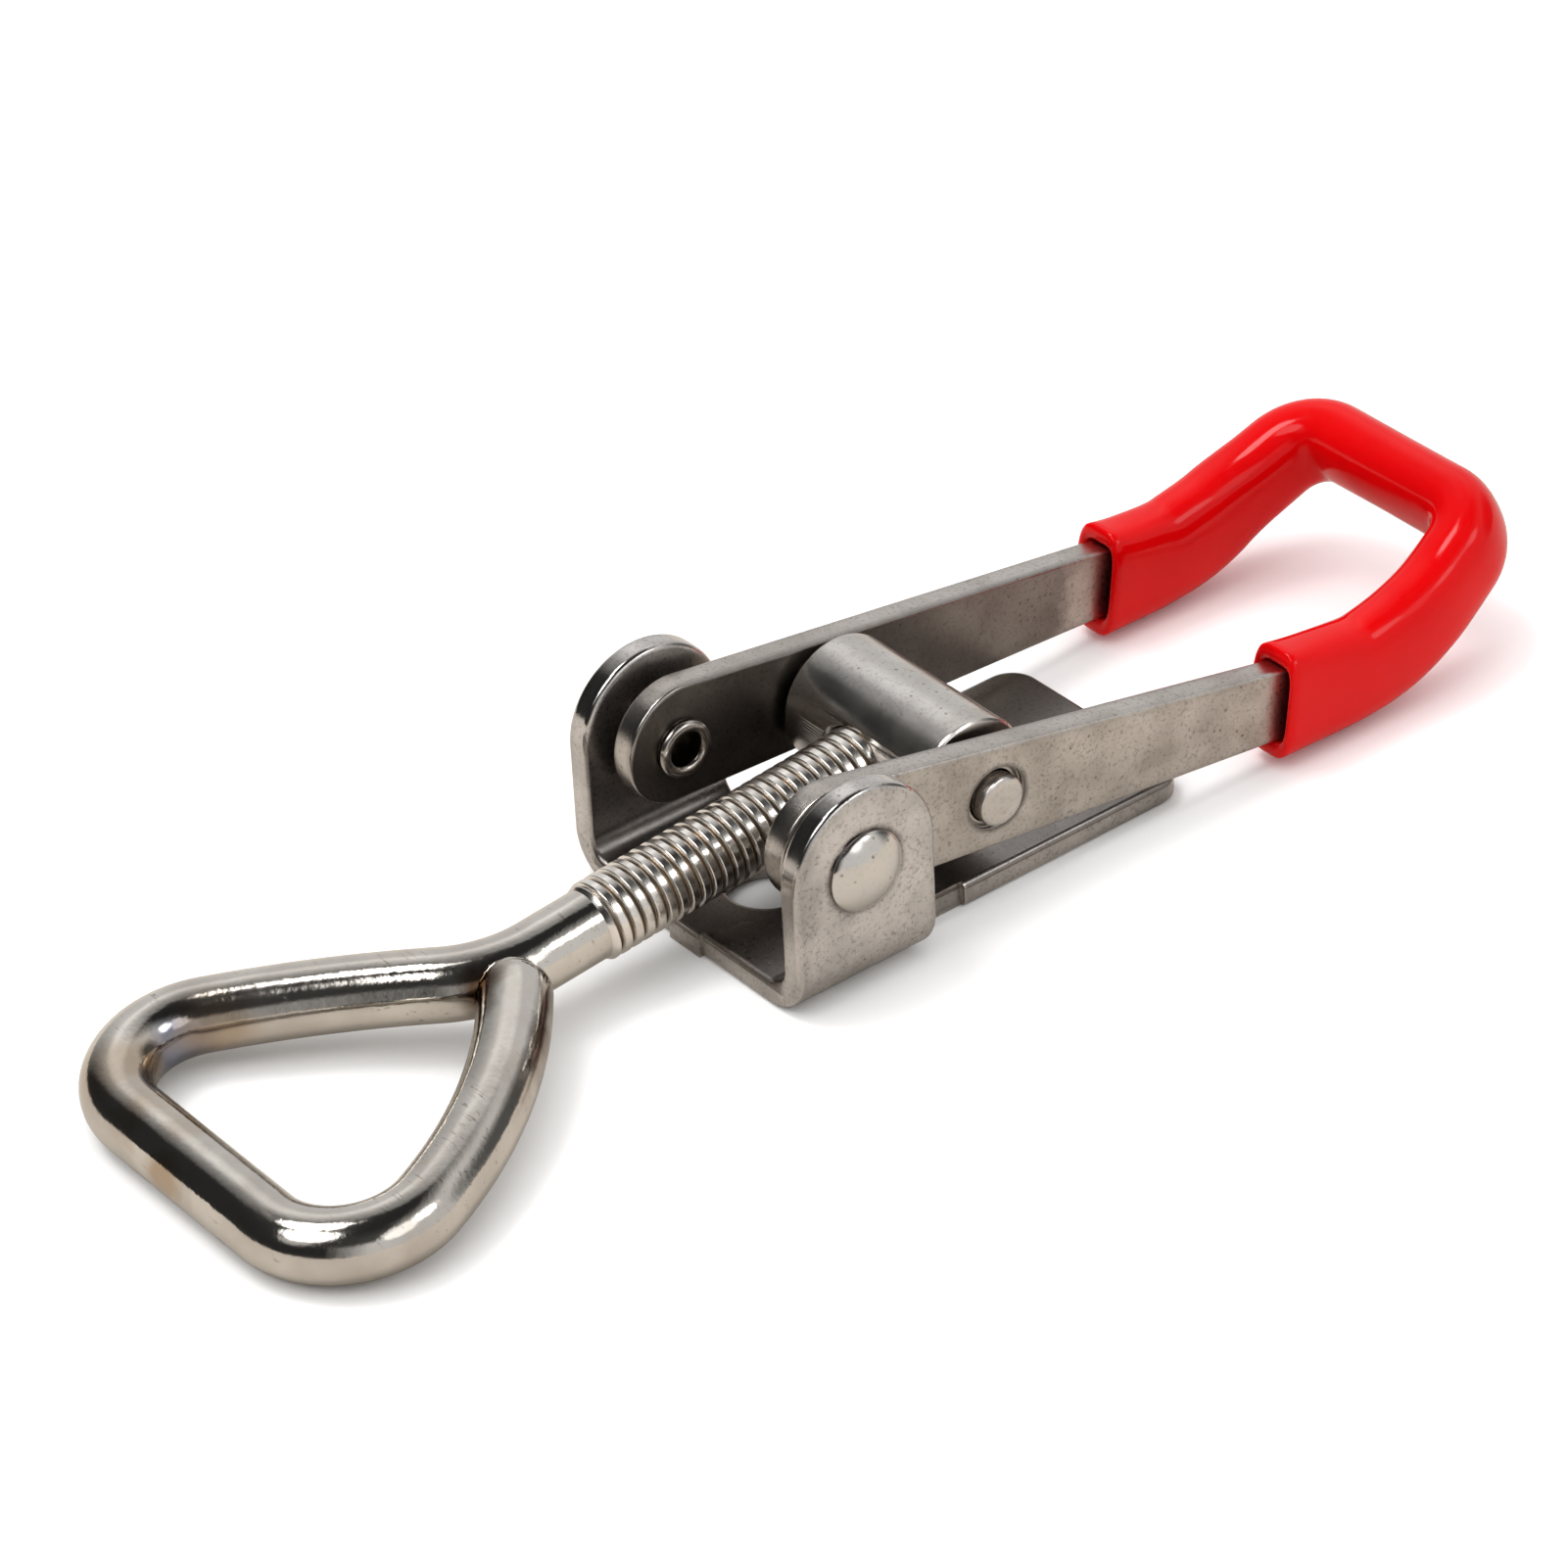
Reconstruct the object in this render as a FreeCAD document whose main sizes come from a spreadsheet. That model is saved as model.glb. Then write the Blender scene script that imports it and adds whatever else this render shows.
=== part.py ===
import FreeCAD, Part
import math
import os
import Sketcher
from FreeCAD import Placement, Rotation, Vector

# Over centre toggle latch, millimetres, +Z up
# X runs along the latch: the hook is at -X and the grip at +X
# The origin is the middle of the two mounting holes, on the underside of the base
# The latch is drawn closed, with the front bar of the hook resting on the ground

doc = FreeCAD.newDocument("toggle_latch")
sheet = doc.addObject("Spreadsheet::Sheet", "sizes")

CELLS = [
    # folded base: one sheet with two upright ears and a flat tail
    ("sheet_thick", "2.0"), ("ear_span", "25.8"), ("ear_fore", "6.1"), ("ear_aft", "6.3"),
    ("ear_arch", "10.7"), ("bend_inner", "1.75"), ("foot_round", "2.2"), ("rim_round", "0.45"),
    ("tail_end", "19.5"), ("tail_wide", "19.2"), ("neck_end", "11.4"),
    ("tail_corner", "2.4"), ("nib_wide", "3.4"), ("nib_out", "0.25"),
    ("hole_radius", "3.25"), ("hole_spacing", "23.5"),
    # pivot of the handle in the ears
    ("pivot_back", "13.0"), ("pivot_high", "10.4"), ("rivet_shank", "1.95"), ("rivet_hole", "2.0"),
    ("head_radius", "3.1"), ("head_high", "1.4"), ("head_edge", "0.25"),
    ("flare_radius", "2.25"), ("flare_long", "0.6"), ("flare_gap", "0.25"), ("flare_edge", "0.2"),
    ("bore_radius", "1.35"), ("bore_deep", "2.6"), ("lip_wide", "0.25"), ("lip_deep", "0.35"),
    # flat bar of the handle
    ("bar_thick", "2.1"), ("arm_gap", "1.15"), ("arm_spread", "1.9"), ("bar_turn", "41.0"),
    ("bar_front", "6.0"),
    ("bar_nose", "4.7"), ("nose_lift", "0.2"), ("bar_half", "2.6"), ("bar_tilt", "7.4"),
    ("kink_reach", "50.6"), ("kink_angle", "35.0"), ("kink_radius", "8.0"), ("kink_lead", "0.3"),
    ("cross_reach", "13.7"), ("cross_round", "4.1"), ("lean_angle", "9.4"), ("lean_round", "20.0"),
    # soft sleeve on the bar
    ("mouth_near", "40.0"), ("mouth_far", "41.6"), ("mouth_half", "4.4"), ("mouth_wide", "4.7"),
    ("mouth_round", "2.1"), ("grip_half", "3.7"), ("grip_wide", "5.2"), ("grip_round", "2.4"),
    ("sleeve_wall", "0.7"), ("mouth_deep", "2.6"),
    # barrel between the arms
    ("swing_reach", "14.1"), ("barrel_radius", "4.9"), ("barrel_gap", "0.7"), ("barrel_edge", "0.4"),
    ("pin_radius", "1.95"), ("pin_hole", "2.0"), ("pin_proud", "0.7"), ("pin_edge", "0.35"),
    ("sink_radius", "2.45"), ("sink_deep", "0.6"), ("tap_radius", "3.0"), ("tap_mouth", "3.4"),
    ("tap_sink", "0.5"),
    # hook bent from one rod
    ("thread_radius", "2.95"), ("wire_radius", "2.65"), ("shank_plain", "4.6"), ("thread_aft", "4.3"),
    ("thread_edge", "0.5"), ("run_out", "0.6"), ("run_step", "0.3"),
    ("neck_reach", "33.1"), ("neck_bend", "10.0"), ("neck_turn", "41.3"),
    ("far_bow", "10.8"), ("far_round", "87.0"), ("far_corner", "6.4"), ("front_long", "15.8"),
    ("near_corner", "6.5"), ("near_turn", "111.4"), ("near_bow", "29.9"), ("near_round", "38.8"),
    ("tip_long", "3.6"), ("butt_gap", "0.3"),
    # how far a cutting outline runs past what it cuts
    ("slack", "1.0"),
]
for row, (alias, text) in enumerate(CELLS, start=1):
    sheet.set(f"A{row}", alias)
    sheet.set(f"B{row}", text)
    sheet.setAlias(f"B{row}", alias)
doc.recompute()


class Size:
    """A length or an angle: its expression on the sheet and its value today."""

    def __init__(self, text, value):
        self.text = text
        self.value = value

    @staticmethod
    def of(other):
        return other if isinstance(other, Size) else Size(repr(float(other)), float(other))

    def __add__(self, other):
        other = Size.of(other)
        return Size(f"({self.text} + {other.text})", self.value + other.value)

    def __sub__(self, other):
        other = Size.of(other)
        return Size(f"({self.text} - {other.text})", self.value - other.value)

    def __mul__(self, other):
        other = Size.of(other)
        return Size(f"({self.text} * {other.text})", self.value * other.value)

    def __truediv__(self, other):
        other = Size.of(other)
        return Size(f"({self.text} / {other.text})", self.value / other.value)

    def __neg__(self):
        return Size(f"(0 - {self.text})", -self.value)

    def __radd__(self, other):
        return Size.of(other) + self

    def __rsub__(self, other):
        return Size.of(other) - self

    def __rmul__(self, other):
        return Size.of(other) * self


def size(alias):
    return Size(f"sizes.{alias}", float(sheet.get(alias)))


def angle(alias):
    return Size(f"(sizes.{alias} * 1deg)", float(sheet.get(alias)))


def sine(turn):
    return Size(f"sin({turn.text})", math.sin(math.radians(turn.value)))


def cosine(turn):
    return Size(f"cos({turn.text})", math.cos(math.radians(turn.value)))


def tangent(turn):
    return Size(f"tan({turn.text})", math.tan(math.radians(turn.value)))


def arc_sine(ratio):
    return Size(f"asin({ratio.text})", math.degrees(math.asin(ratio.value)))


ZERO = Size("0", 0.0)


def bind(item, path, amount):
    item.setExpression(path, amount.text)


def new_body(label, base=(ZERO, ZERO, ZERO), axis=None, turn=None):
    body = doc.addObject("PartDesign::Body", label)
    body.Label = label
    if axis is not None:
        body.Placement = Placement(Vector(*[c.value for c in base]), Rotation(axis, turn.value))
        bind(body, "Placement.Rotation.Angle", turn)
    for letter, amount in zip("xyz", base):
        bind(body, f"Placement.Base.{letter}", amount)
    return body


def new_sketch(body, name, role, base=(ZERO, ZERO, ZERO), axis=None, turn=None):
    sketch = body.newObject("Sketcher::SketchObject", name)
    plane = [part for part in body.Origin.OriginFeatures if part.Role == role][0]
    sketch.AttachmentSupport = [(plane, "")]
    sketch.MapMode = "FlatFace"
    start = Vector(*[c.value for c in base])
    if axis is not None:
        sketch.AttachmentOffset = Placement(start, Rotation(axis, turn.value))
        bind(sketch, "AttachmentOffset.Rotation.Angle", turn)
    else:
        sketch.AttachmentOffset = Placement(start, Rotation())
    for letter, amount in zip("xyz", base):
        bind(sketch, f"AttachmentOffset.Base.{letter}", amount)
    return sketch


def hold_point(sketch, item, end, point):
    for kind, amount in zip(("DistanceX", "DistanceY"), point):
        index = sketch.addConstraint(Sketcher.Constraint(kind, -1, 1, item, end, amount.value))
        sketch.renameConstraint(index, f"{kind}{item}e{end}")
        bind(sketch, f"Constraints.{kind}{item}e{end}", amount)


def draw_path(sketch, start, steps, closed=True):
    """Lines and arcs through fixed points. A step is (x, y) or (x, y, radius, turn)."""
    here = start
    ends = []
    for step in steps:
        there = step[:2]
        a = Vector(here[0].value, here[1].value, 0)
        b = Vector(there[0].value, there[1].value, 0)
        if len(step) == 2:
            item = sketch.addGeometry(Part.LineSegment(a, b), False)
            ends.append((item, 1, 2, here))
        else:
            radius, turn = step[2], step[3]
            chord = b - a
            rise = math.sqrt(max(radius.value ** 2 - (chord.Length / 2) ** 2, 0.0))
            side = Vector(-chord.y, chord.x, 0)
            side.normalize()
            centre = (a + b) * 0.5 + side * (rise * turn)
            first = math.atan2(a.y - centre.y, a.x - centre.x)
            last = math.atan2(b.y - centre.y, b.x - centre.x)
            if turn < 0:
                first, last = last, first
            if last < first:
                last += 2 * math.pi
            circle = Part.Circle(centre, Vector(0, 0, 1), radius.value)
            item = sketch.addGeometry(Part.ArcOfCircle(circle, first, last), False)
            index = sketch.addConstraint(Sketcher.Constraint("Radius", item, radius.value))
            sketch.renameConstraint(index, f"Radius{item}")
            bind(sketch, f"Constraints.Radius{item}", radius)
            ends.append((item, 1, 2, here) if turn > 0 else (item, 2, 1, here))
        here = there
    for (item, _, tail, _), (other, head, _, _) in zip(ends, ends[1:]):
        sketch.addConstraint(Sketcher.Constraint("Coincident", item, tail, other, head))
    for item, head, _, point in ends:
        hold_point(sketch, item, head, point)
    last, tail = ends[-1][0], ends[-1][2]
    if closed:
        first, head = ends[0][0], ends[0][1]
        sketch.addConstraint(Sketcher.Constraint("Coincident", last, tail, first, head))
    else:
        hold_point(sketch, last, tail, here)


def draw_circle(sketch, x, y, radius):
    spot = Vector(x.value, y.value, 0)
    item = sketch.addGeometry(Part.Circle(spot, Vector(0, 0, 1), radius.value), False)
    hold_point(sketch, item, 3, (x, y))
    index = sketch.addConstraint(Sketcher.Constraint("Radius", item, radius.value))
    sketch.renameConstraint(index, f"Radius{item}")
    bind(sketch, f"Constraints.Radius{item}", radius)


def extrude(body, kind, name, sketch, length):
    feature = body.newObject(f"PartDesign::{kind}", name)
    feature.Profile = sketch
    feature.Length = length.value
    bind(feature, "Length", length)
    doc.recompute()
    sketch.Visibility = False
    return feature


def removed(feature, before, what):
    """A cut must take material away."""
    if feature.Shape.Volume >= before - 1e-6:
        raise RuntimeError(f"{what} removed nothing")


def cut(body, name, sketch, length):
    before = body.Shape.Volume
    feature = extrude(body, "Pocket", name, sketch, length)
    removed(feature, before, name)
    return feature


def sweep(body, name, profile, path):
    feature = body.newObject("PartDesign::AdditivePipe", name)
    feature.Profile = profile
    feature.Spine = path
    doc.recompute()
    return feature


def spin(body, name, sketch):
    feature = body.newObject("PartDesign::Revolution", name)
    feature.Profile = sketch
    feature.ReferenceAxis = (sketch, ["V_Axis"])
    feature.Angle = 360
    doc.recompute()
    return feature


# Sizes used by more than one piece
slack = size("slack")
thick = size("sheet_thick")
ear_half = size("ear_span") / 2
pivot_x = -size("pivot_back")
pivot_z = size("pivot_high")
bar_tilt = angle("bar_tilt")
kink = angle("kink_angle")
reach = size("swing_reach")
barrel_x = pivot_x + reach * cosine(bar_tilt)
barrel_z = pivot_z - reach * sine(bar_tilt)


def path_turn(start, radius, before, after):
    """The end of an arc that turns the forward heading from before to after."""
    along = start[0] - radius * (sine(after) - sine(before))
    across = start[1] - radius * (cosine(after) - cosine(before))
    return (along, across)


# The hook's path in its own plane: forward is -X, and a heading above 0 leans to the far side
neck = size("neck_bend")
far_round = size("far_round")
far_corner = size("far_corner")
near_corner = size("near_corner")
near_round = size("near_round")
straight = Size("0deg", 0.0)
leaned = angle("neck_turn")
bowed = leaned - angle("far_bow")
half_bowed = leaned - Size("(sizes.far_bow * 0.5deg)", size("far_bow").value / 2)
across = Size("-90deg", -90.0)
turned_back = across - angle("near_turn")
tip_heading = turned_back - angle("near_bow")
neck_point = (-size("neck_reach"), ZERO)
leg_point = path_turn(neck_point, neck, straight, leaned)
join_point = path_turn(leg_point, -far_round, leaned, half_bowed)
far_point = path_turn(join_point, -far_round, half_bowed, bowed)
front_point = path_turn(far_point, -far_corner, bowed, across)
near_point = (front_point[0], front_point[1] - size("front_long"))
back_point = path_turn(near_point, -near_corner, across, turned_back)
butt_point = path_turn(back_point, -near_round, turned_back, tip_heading)
tip = size("tip_long")
tip_point = (butt_point[0] - tip * cosine(tip_heading), butt_point[1] + tip * sine(tip_heading))
rod_tilt = arc_sine((barrel_z - size("wire_radius")) / (-front_point[0]))
UP_Y = Vector(0, 1, 0)
DOWN_Y = Vector(0, -1, 0)

# Base: U fold with two ears, an arched top on each ear, and a flat tail
base = new_body("base_bracket")
ear_front = pivot_x - size("ear_fore")
ear_rear = pivot_x + size("ear_aft")
ear_wide = ear_rear - ear_front
arch_radius = ear_wide / 2
arch_x = ear_front + arch_radius
arch_z = size("ear_arch")
arch_top = arch_z + arch_radius
bend_in = size("bend_inner")
bend_out = bend_in + thick
ear_in = ear_half - thick

fold = new_sketch(base, "fold_outline", "YZ_Plane", (ZERO, ZERO, ear_front))
draw_path(fold, (bend_out - ear_half, ZERO), [
    (ear_half - bend_out, ZERO), (ear_half, bend_out, bend_out, 1), (ear_half, arch_top),
    (ear_in, arch_top), (ear_in, bend_out), (ear_in - bend_in, thick, bend_in, -1),
    (bend_in - ear_in, thick), (-ear_in, bend_out, bend_in, -1), (-ear_in, arch_top),
    (-ear_half, arch_top), (-ear_half, bend_out), (bend_out - ear_half, ZERO, bend_out, 1)])
extrude(base, "Pad", "fold", fold, ear_wide)

clear = ear_half + slack * 2
arch = new_sketch(base, "arch_outline", "XZ_Plane", (ZERO, ZERO, clear))
draw_path(arch, (ear_front, arch_z), [
    (arch_x, arch_top, arch_radius, -1), (ear_rear, arch_z, arch_radius, -1),
    (ear_rear + slack, arch_z), (ear_rear + slack, arch_top + slack),
    (ear_front - slack, arch_top + slack), (ear_front - slack, arch_z),
    (ear_front, arch_z)])
cut(base, "arch", arch, clear * 2)

def rim_edges(shape):
    """Edges round the outline of each ear, on both of its faces."""
    names = []
    for number, edge in enumerate(shape.Edges, start=1):
        box = edge.BoundBox
        level = abs(box.YMin)
        on_face = abs(level - ear_half.value) < 0.01 or abs(level - ear_in.value) < 0.01
        if on_face and box.YLength < 0.01 and box.ZMin > bend_out.value - 0.01 and box.ZLength > 0.5:
            names.append(f"Edge{number}")
    return names


def round_over(body, name, picker, radius):
    last = body.Tip
    feature = body.newObject("PartDesign::Fillet", name)
    feature.Base = (last, picker(last.Shape))
    feature.Radius = radius.value
    bind(feature, "Radius", radius)
    doc.recompute()
    return feature


round_over(base, "ear_rims", rim_edges, size("rim_round"))

foot = size("foot_round")
foot_cut = new_sketch(base, "foot_outline", "XZ_Plane", (ZERO, ZERO, clear))
draw_path(foot_cut, (ear_rear - foot, ZERO), [
    (ear_rear, foot, foot, 1), (ear_rear + slack, foot), (ear_rear + slack, -slack),
    (ear_rear - foot, -slack), (ear_rear - foot, ZERO)])
cut(base, "foot", foot_cut, clear * 2)

tail_half = size("tail_wide") / 2
neck_half = ear_half - bend_out
neck_x = pivot_x + size("neck_end")
neck_root = ear_rear - foot - slack
tail_x = size("tail_end")
corner = size("tail_corner")
tail = new_sketch(base, "tail_outline", "XY_Plane")
draw_path(tail, (neck_root, -neck_half), [
    (neck_x, -neck_half), (neck_x, -tail_half), (tail_x - corner, -tail_half),
    (tail_x, corner - tail_half, corner, 1), (tail_x, tail_half - corner),
    (tail_x - corner, tail_half, corner, 1), (neck_x, tail_half), (neck_x, neck_half),
    (neck_root, neck_half), (neck_root, -neck_half)])
extrude(base, "Pad", "tail", tail, thick)

nib_half = size("nib_wide") / 2
nib_x = ear_front - size("nib_out")
nib = new_sketch(base, "nib_outline", "XY_Plane")
draw_path(nib, (nib_x, -nib_half), [
    (ear_front + slack, -nib_half), (ear_front + slack, nib_half), (nib_x, nib_half), (nib_x, -nib_half)])
extrude(base, "Pad", "nib", nib, thick)

holes = new_sketch(base, "hole_outline", "XY_Plane", (ZERO, ZERO, thick + slack))
draw_circle(holes, -size("hole_spacing") / 2, ZERO, size("hole_radius"))
draw_circle(holes, size("hole_spacing") / 2, ZERO, size("hole_radius"))
cut(base, "mounting_holes", holes, thick + slack * 2)

ear_holes = new_sketch(base, "ear_hole_outline", "XZ_Plane", (ZERO, ZERO, clear))
draw_circle(ear_holes, pivot_x, pivot_z, size("rivet_shank"))
cut(base, "ear_holes", ear_holes, clear * 2)


def tail_edges(shape):
    """Edges round the outline of the tail plate, above and below."""
    names = []
    for number, edge in enumerate(shape.Edges, start=1):
        box = edge.BoundBox
        level = box.ZLength < 0.01 and (abs(box.ZMin) < 0.01 or abs(box.ZMin - thick.value) < 0.01)
        outer = abs(abs(box.YMin) - tail_half.value) < 0.01 and box.YLength < 0.01
        end = box.XMax > tail_x.value - 0.01
        if level and (outer or end):
            names.append(f"Edge{number}")
    return names


round_over(base, "tail_rims", tail_edges, size("rim_round"))

# Handle bar: two flat arms that spread towards the grip, a kink and a cross bar
# It is drawn along its own arm line, with the pivot at its origin
bar = new_body("handle_bar", (pivot_x, ZERO, pivot_z), UP_Y, bar_tilt)
half_bar = size("bar_thick") / 2
fore = ear_in - size("arm_gap") - half_bar
aft = fore + size("arm_spread")
turn_x = size("bar_turn")
nose = size("bar_nose")
bar_half = size("bar_half")
kink_x = size("kink_reach")
kink_round = size("kink_radius")
half_kink = Size("(sizes.kink_angle / 2 * 1deg)", kink.value / 2)
kink_start = kink_x - kink_round * tangent(half_kink)
kink_end = kink_round * tangent(half_kink) + size("kink_lead")
spread = (aft - fore) / turn_x
front_x = -size("bar_front")
front_y = fore + spread * front_x
plan_deep = size("bar_front") + slack


def arm_plan(side):
    outer = half_bar * side
    steps = [(turn_x, aft * side + outer), (kink_start, aft * side + outer),
             (kink_start, aft * side - outer), (turn_x, aft * side - outer),
             (front_x, front_y * side - outer), (front_x, front_y * side + outer)]
    return (front_x, front_y * side + outer), steps


for side, word in ((-1, "near"), (1, "far")):
    plan = new_sketch(bar, f"{word}_arm_plan", "XY_Plane", (ZERO, ZERO, -plan_deep))
    first, steps = arm_plan(side)
    draw_path(plan, first, steps)
    extrude(bar, "Pad", f"{word}_arm", plan, plan_deep * 2)

# The side outline tapers from the round nose to the height of the gripped part
lift = size("nose_lift")
slope_up = (nose + lift - bar_half) / kink_start
slope_down = (nose - lift - bar_half) / kink_start
top_tip = (nose * slope_up, lift + nose * (1 - slope_up * slope_up / 2))
low_tip = (nose * slope_down, lift - nose * (1 - slope_down * slope_down / 2))
beyond = kink_start + slack
cut_tall = plan_deep + slack
cut_front = front_x - slack
side_cut = new_sketch(bar, "side_outline", "XZ_Plane", (ZERO, ZERO, clear))
draw_path(side_cut, (cut_front, cut_tall), [
    (cut_front, -cut_tall), (beyond, -cut_tall), (beyond, -bar_half), (kink_start, -bar_half),
    low_tip, (-nose, lift, nose, -1), top_tip + (nose, -1), (kink_start, bar_half),
    (beyond, bar_half), (beyond, cut_tall), (cut_front, cut_tall)])
cut(bar, "side_taper", side_cut, clear * 2)

# Points of the kink, in the plane of an arm
inner_round = kink_round - bar_half
outer_round = kink_round + bar_half
sin_k = sine(kink)
cos_k = cosine(kink)


def kink_point(along, above):
    return (kink_x + along * cos_k - above * sin_k, along * sin_k + above * cos_k)


kink_tan = kink_round * tangent(half_kink)
for side, word in ((-1, "near"), (1, "far")):
    level = half_bar - aft * side
    band = new_sketch(bar, f"{word}_kink_outline", "XZ_Plane", (ZERO, ZERO, level - half_bar * 2))
    draw_path(band, (kink_start, -bar_half), [
        kink_point(kink_tan, -bar_half) + (outer_round, 1), kink_point(kink_end, -bar_half),
        kink_point(kink_end, bar_half), kink_point(kink_tan, bar_half),
        (kink_start, bar_half, inner_round, -1), (kink_start, -bar_half)])
    extrude(bar, "Pad", f"{word}_kink", band, half_bar * 2)

# The gripped end is a flat U in the raised plane, whose legs lean in towards the cross bar
cross = size("cross_reach")
cross_round = size("cross_round")
lean = angle("lean_angle")
lean_round = size("lean_round")
lean_sin = sine(lean)
lean_cos = cosine(lean)
lean_run = (cross - kink_end - lean_round * lean_sin - cross_round * (1 - lean_sin)) / lean_cos
flat = aft - lean_round + (lean_round - cross_round) * lean_cos - lean_run * lean_sin


def leg_ends(off):
    """Both ends of a leg's leaning run, at a distance off outside its middle line."""
    begin = (kink_end + (lean_round + off) * lean_sin, aft - lean_round + (lean_round + off) * lean_cos)
    end = (cross - cross_round + (cross_round + off) * lean_sin, flat + (cross_round + off) * lean_cos)
    return begin, end


def u_line(off):
    """The U from the near leg to the far leg, at a distance off outside its middle line."""
    begin, end = leg_ends(off)
    wide, tight = lean_round + off, cross_round + off
    return [
        (begin[0], -begin[1], wide, 1), (end[0], -end[1]), (cross + off, -flat, tight, 1),
        (cross + off, flat), end + (tight, 1), begin, (kink_end, aft + off, wide, 1)]


def u_back(off):
    """The same line, drawn from the far leg to the near leg."""
    begin, end = leg_ends(off)
    wide, tight = lean_round + off, cross_round + off
    return [
        begin + (wide, -1), end, (cross + off, flat, tight, -1), (cross + off, -flat),
        (end[0], -end[1], tight, -1), (begin[0], -begin[1]), (kink_end, -aft - off, wide, -1)]


u_base = (kink_x + bar_half * sin_k, ZERO, -bar_half * cos_k)
cross_bar = new_sketch(bar, "cross_outline", "XY_Plane", u_base, DOWN_Y, kink)
draw_path(cross_bar, (kink_end, -aft - half_bar), [
    *u_line(half_bar), (kink_end, aft - half_bar), *u_back(ZERO - half_bar),
    (kink_end, -aft - half_bar)])
extrude(bar, "Pad", "cross_bar", cross_bar, bar_half * 2)

pivot_holes = new_sketch(bar, "pivot_hole_outline", "XZ_Plane", (ZERO, ZERO, clear))
draw_circle(pivot_holes, ZERO, ZERO, size("rivet_hole"))
cut(bar, "pivot_holes", pivot_holes, clear * 2)
pin_holes = new_sketch(bar, "pin_hole_outline", "XZ_Plane", (ZERO, ZERO, clear))
draw_circle(pin_holes, reach, ZERO, size("pin_hole"))
cut(bar, "pin_holes", pin_holes, clear * 2)
sink_level = fore + spread * reach + half_bar - size("sink_deep")
near_sink = new_sketch(bar, "near_sink_outline", "XZ_Plane", (ZERO, ZERO, clear))
draw_circle(near_sink, reach, ZERO, size("sink_radius"))
cut(bar, "near_sink", near_sink, clear - sink_level)
far_sink = new_sketch(bar, "far_sink_outline", "XZ_Plane", (ZERO, ZERO, -sink_level))
draw_circle(far_sink, reach, ZERO, size("sink_radius"))
cut(bar, "far_sink", far_sink, clear - sink_level)

# Sleeve: a soft tube over the gripped part, open at its two mouths
# It tapers from each mouth to the kink, then keeps one rounded section
outer_grip = new_body("sleeve_skin", (pivot_x, ZERO, pivot_z), UP_Y, bar_tilt)
grip_w = size("grip_wide") / 2
grip_r = size("grip_round")
mouth_w = size("mouth_wide") / 2
mouth_r = size("mouth_round")


def rounded(sketch, x, tall, wide, corner_r):
    draw_path(sketch, (x - wide + corner_r, -tall), [
        (x + wide - corner_r, -tall), (x + wide, corner_r - tall, corner_r, 1),
        (x + wide, tall - corner_r), (x + wide - corner_r, tall, corner_r, 1),
        (x - wide + corner_r, tall), (x - wide, tall - corner_r, corner_r, 1),
        (x - wide, corner_r - tall), (x - wide + corner_r, -tall, corner_r, 1)])


for side, word in ((-1, "near"), (1, "far")):
    mouth = new_sketch(outer_grip, f"{word}_mouth_outline", "YZ_Plane", (ZERO, ZERO, size(f"mouth_{word}")))
    rounded(mouth, aft * side, size("mouth_half"), mouth_w, mouth_r)
    throat = new_sketch(outer_grip, f"{word}_throat_outline", "YZ_Plane", (ZERO, ZERO, kink_start))
    rounded(throat, aft * side, size("grip_half"), grip_w, grip_r)
    loft = outer_grip.newObject("PartDesign::AdditiveLoft", f"{word}_taper")
    loft.Profile = mouth
    loft.Sections = [throat]
    loft.Ruled = True
    doc.recompute()
    path = new_sketch(outer_grip, f"{word}_kink_path", "XZ_Plane", (ZERO, ZERO, -aft * side))
    draw_path(path, (kink_start, ZERO), [
        kink_point(kink_tan, ZERO) + (kink_round, 1), kink_point(kink_end, ZERO)], closed=False)
    sweep(outer_grip, f"{word}_kink_tube", throat, path)

u_path = new_sketch(outer_grip, "cross_path", "XY_Plane", (kink_x, ZERO, ZERO), DOWN_Y, kink)
draw_path(u_path, (kink_end, -aft), u_line(ZERO), closed=False)
joint_x, joint_z = kink_point(kink_end, ZERO)
u_base = (-aft, joint_z, joint_x)
u_section = new_sketch(outer_grip, "cross_section", "YZ_Plane", u_base, Vector(-1, 0, 0), kink)
rounded(u_section, ZERO, size("grip_half"), grip_w, grip_r)
sweep(outer_grip, "cross_tube", u_section, u_path)

wall = size("sleeve_wall")
for side, word in ((-1, "near"), (1, "far")):
    lip_x = size(f"mouth_{word}") + size("mouth_deep")
    lip = new_sketch(outer_grip, f"{word}_lip_outline", "YZ_Plane", (ZERO, ZERO, lip_x))
    rounded(lip, aft * side, size("mouth_half") - wall, mouth_w - wall, mouth_r - wall)
    cut(outer_grip, f"{word}_lip", lip, size("mouth_deep") * 2)

sleeve = doc.addObject("Part::Cut", "grip_sleeve")
sleeve.Label = "grip_sleeve"
sleeve.Base = outer_grip
sleeve.Tool = bar
doc.recompute()

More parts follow.
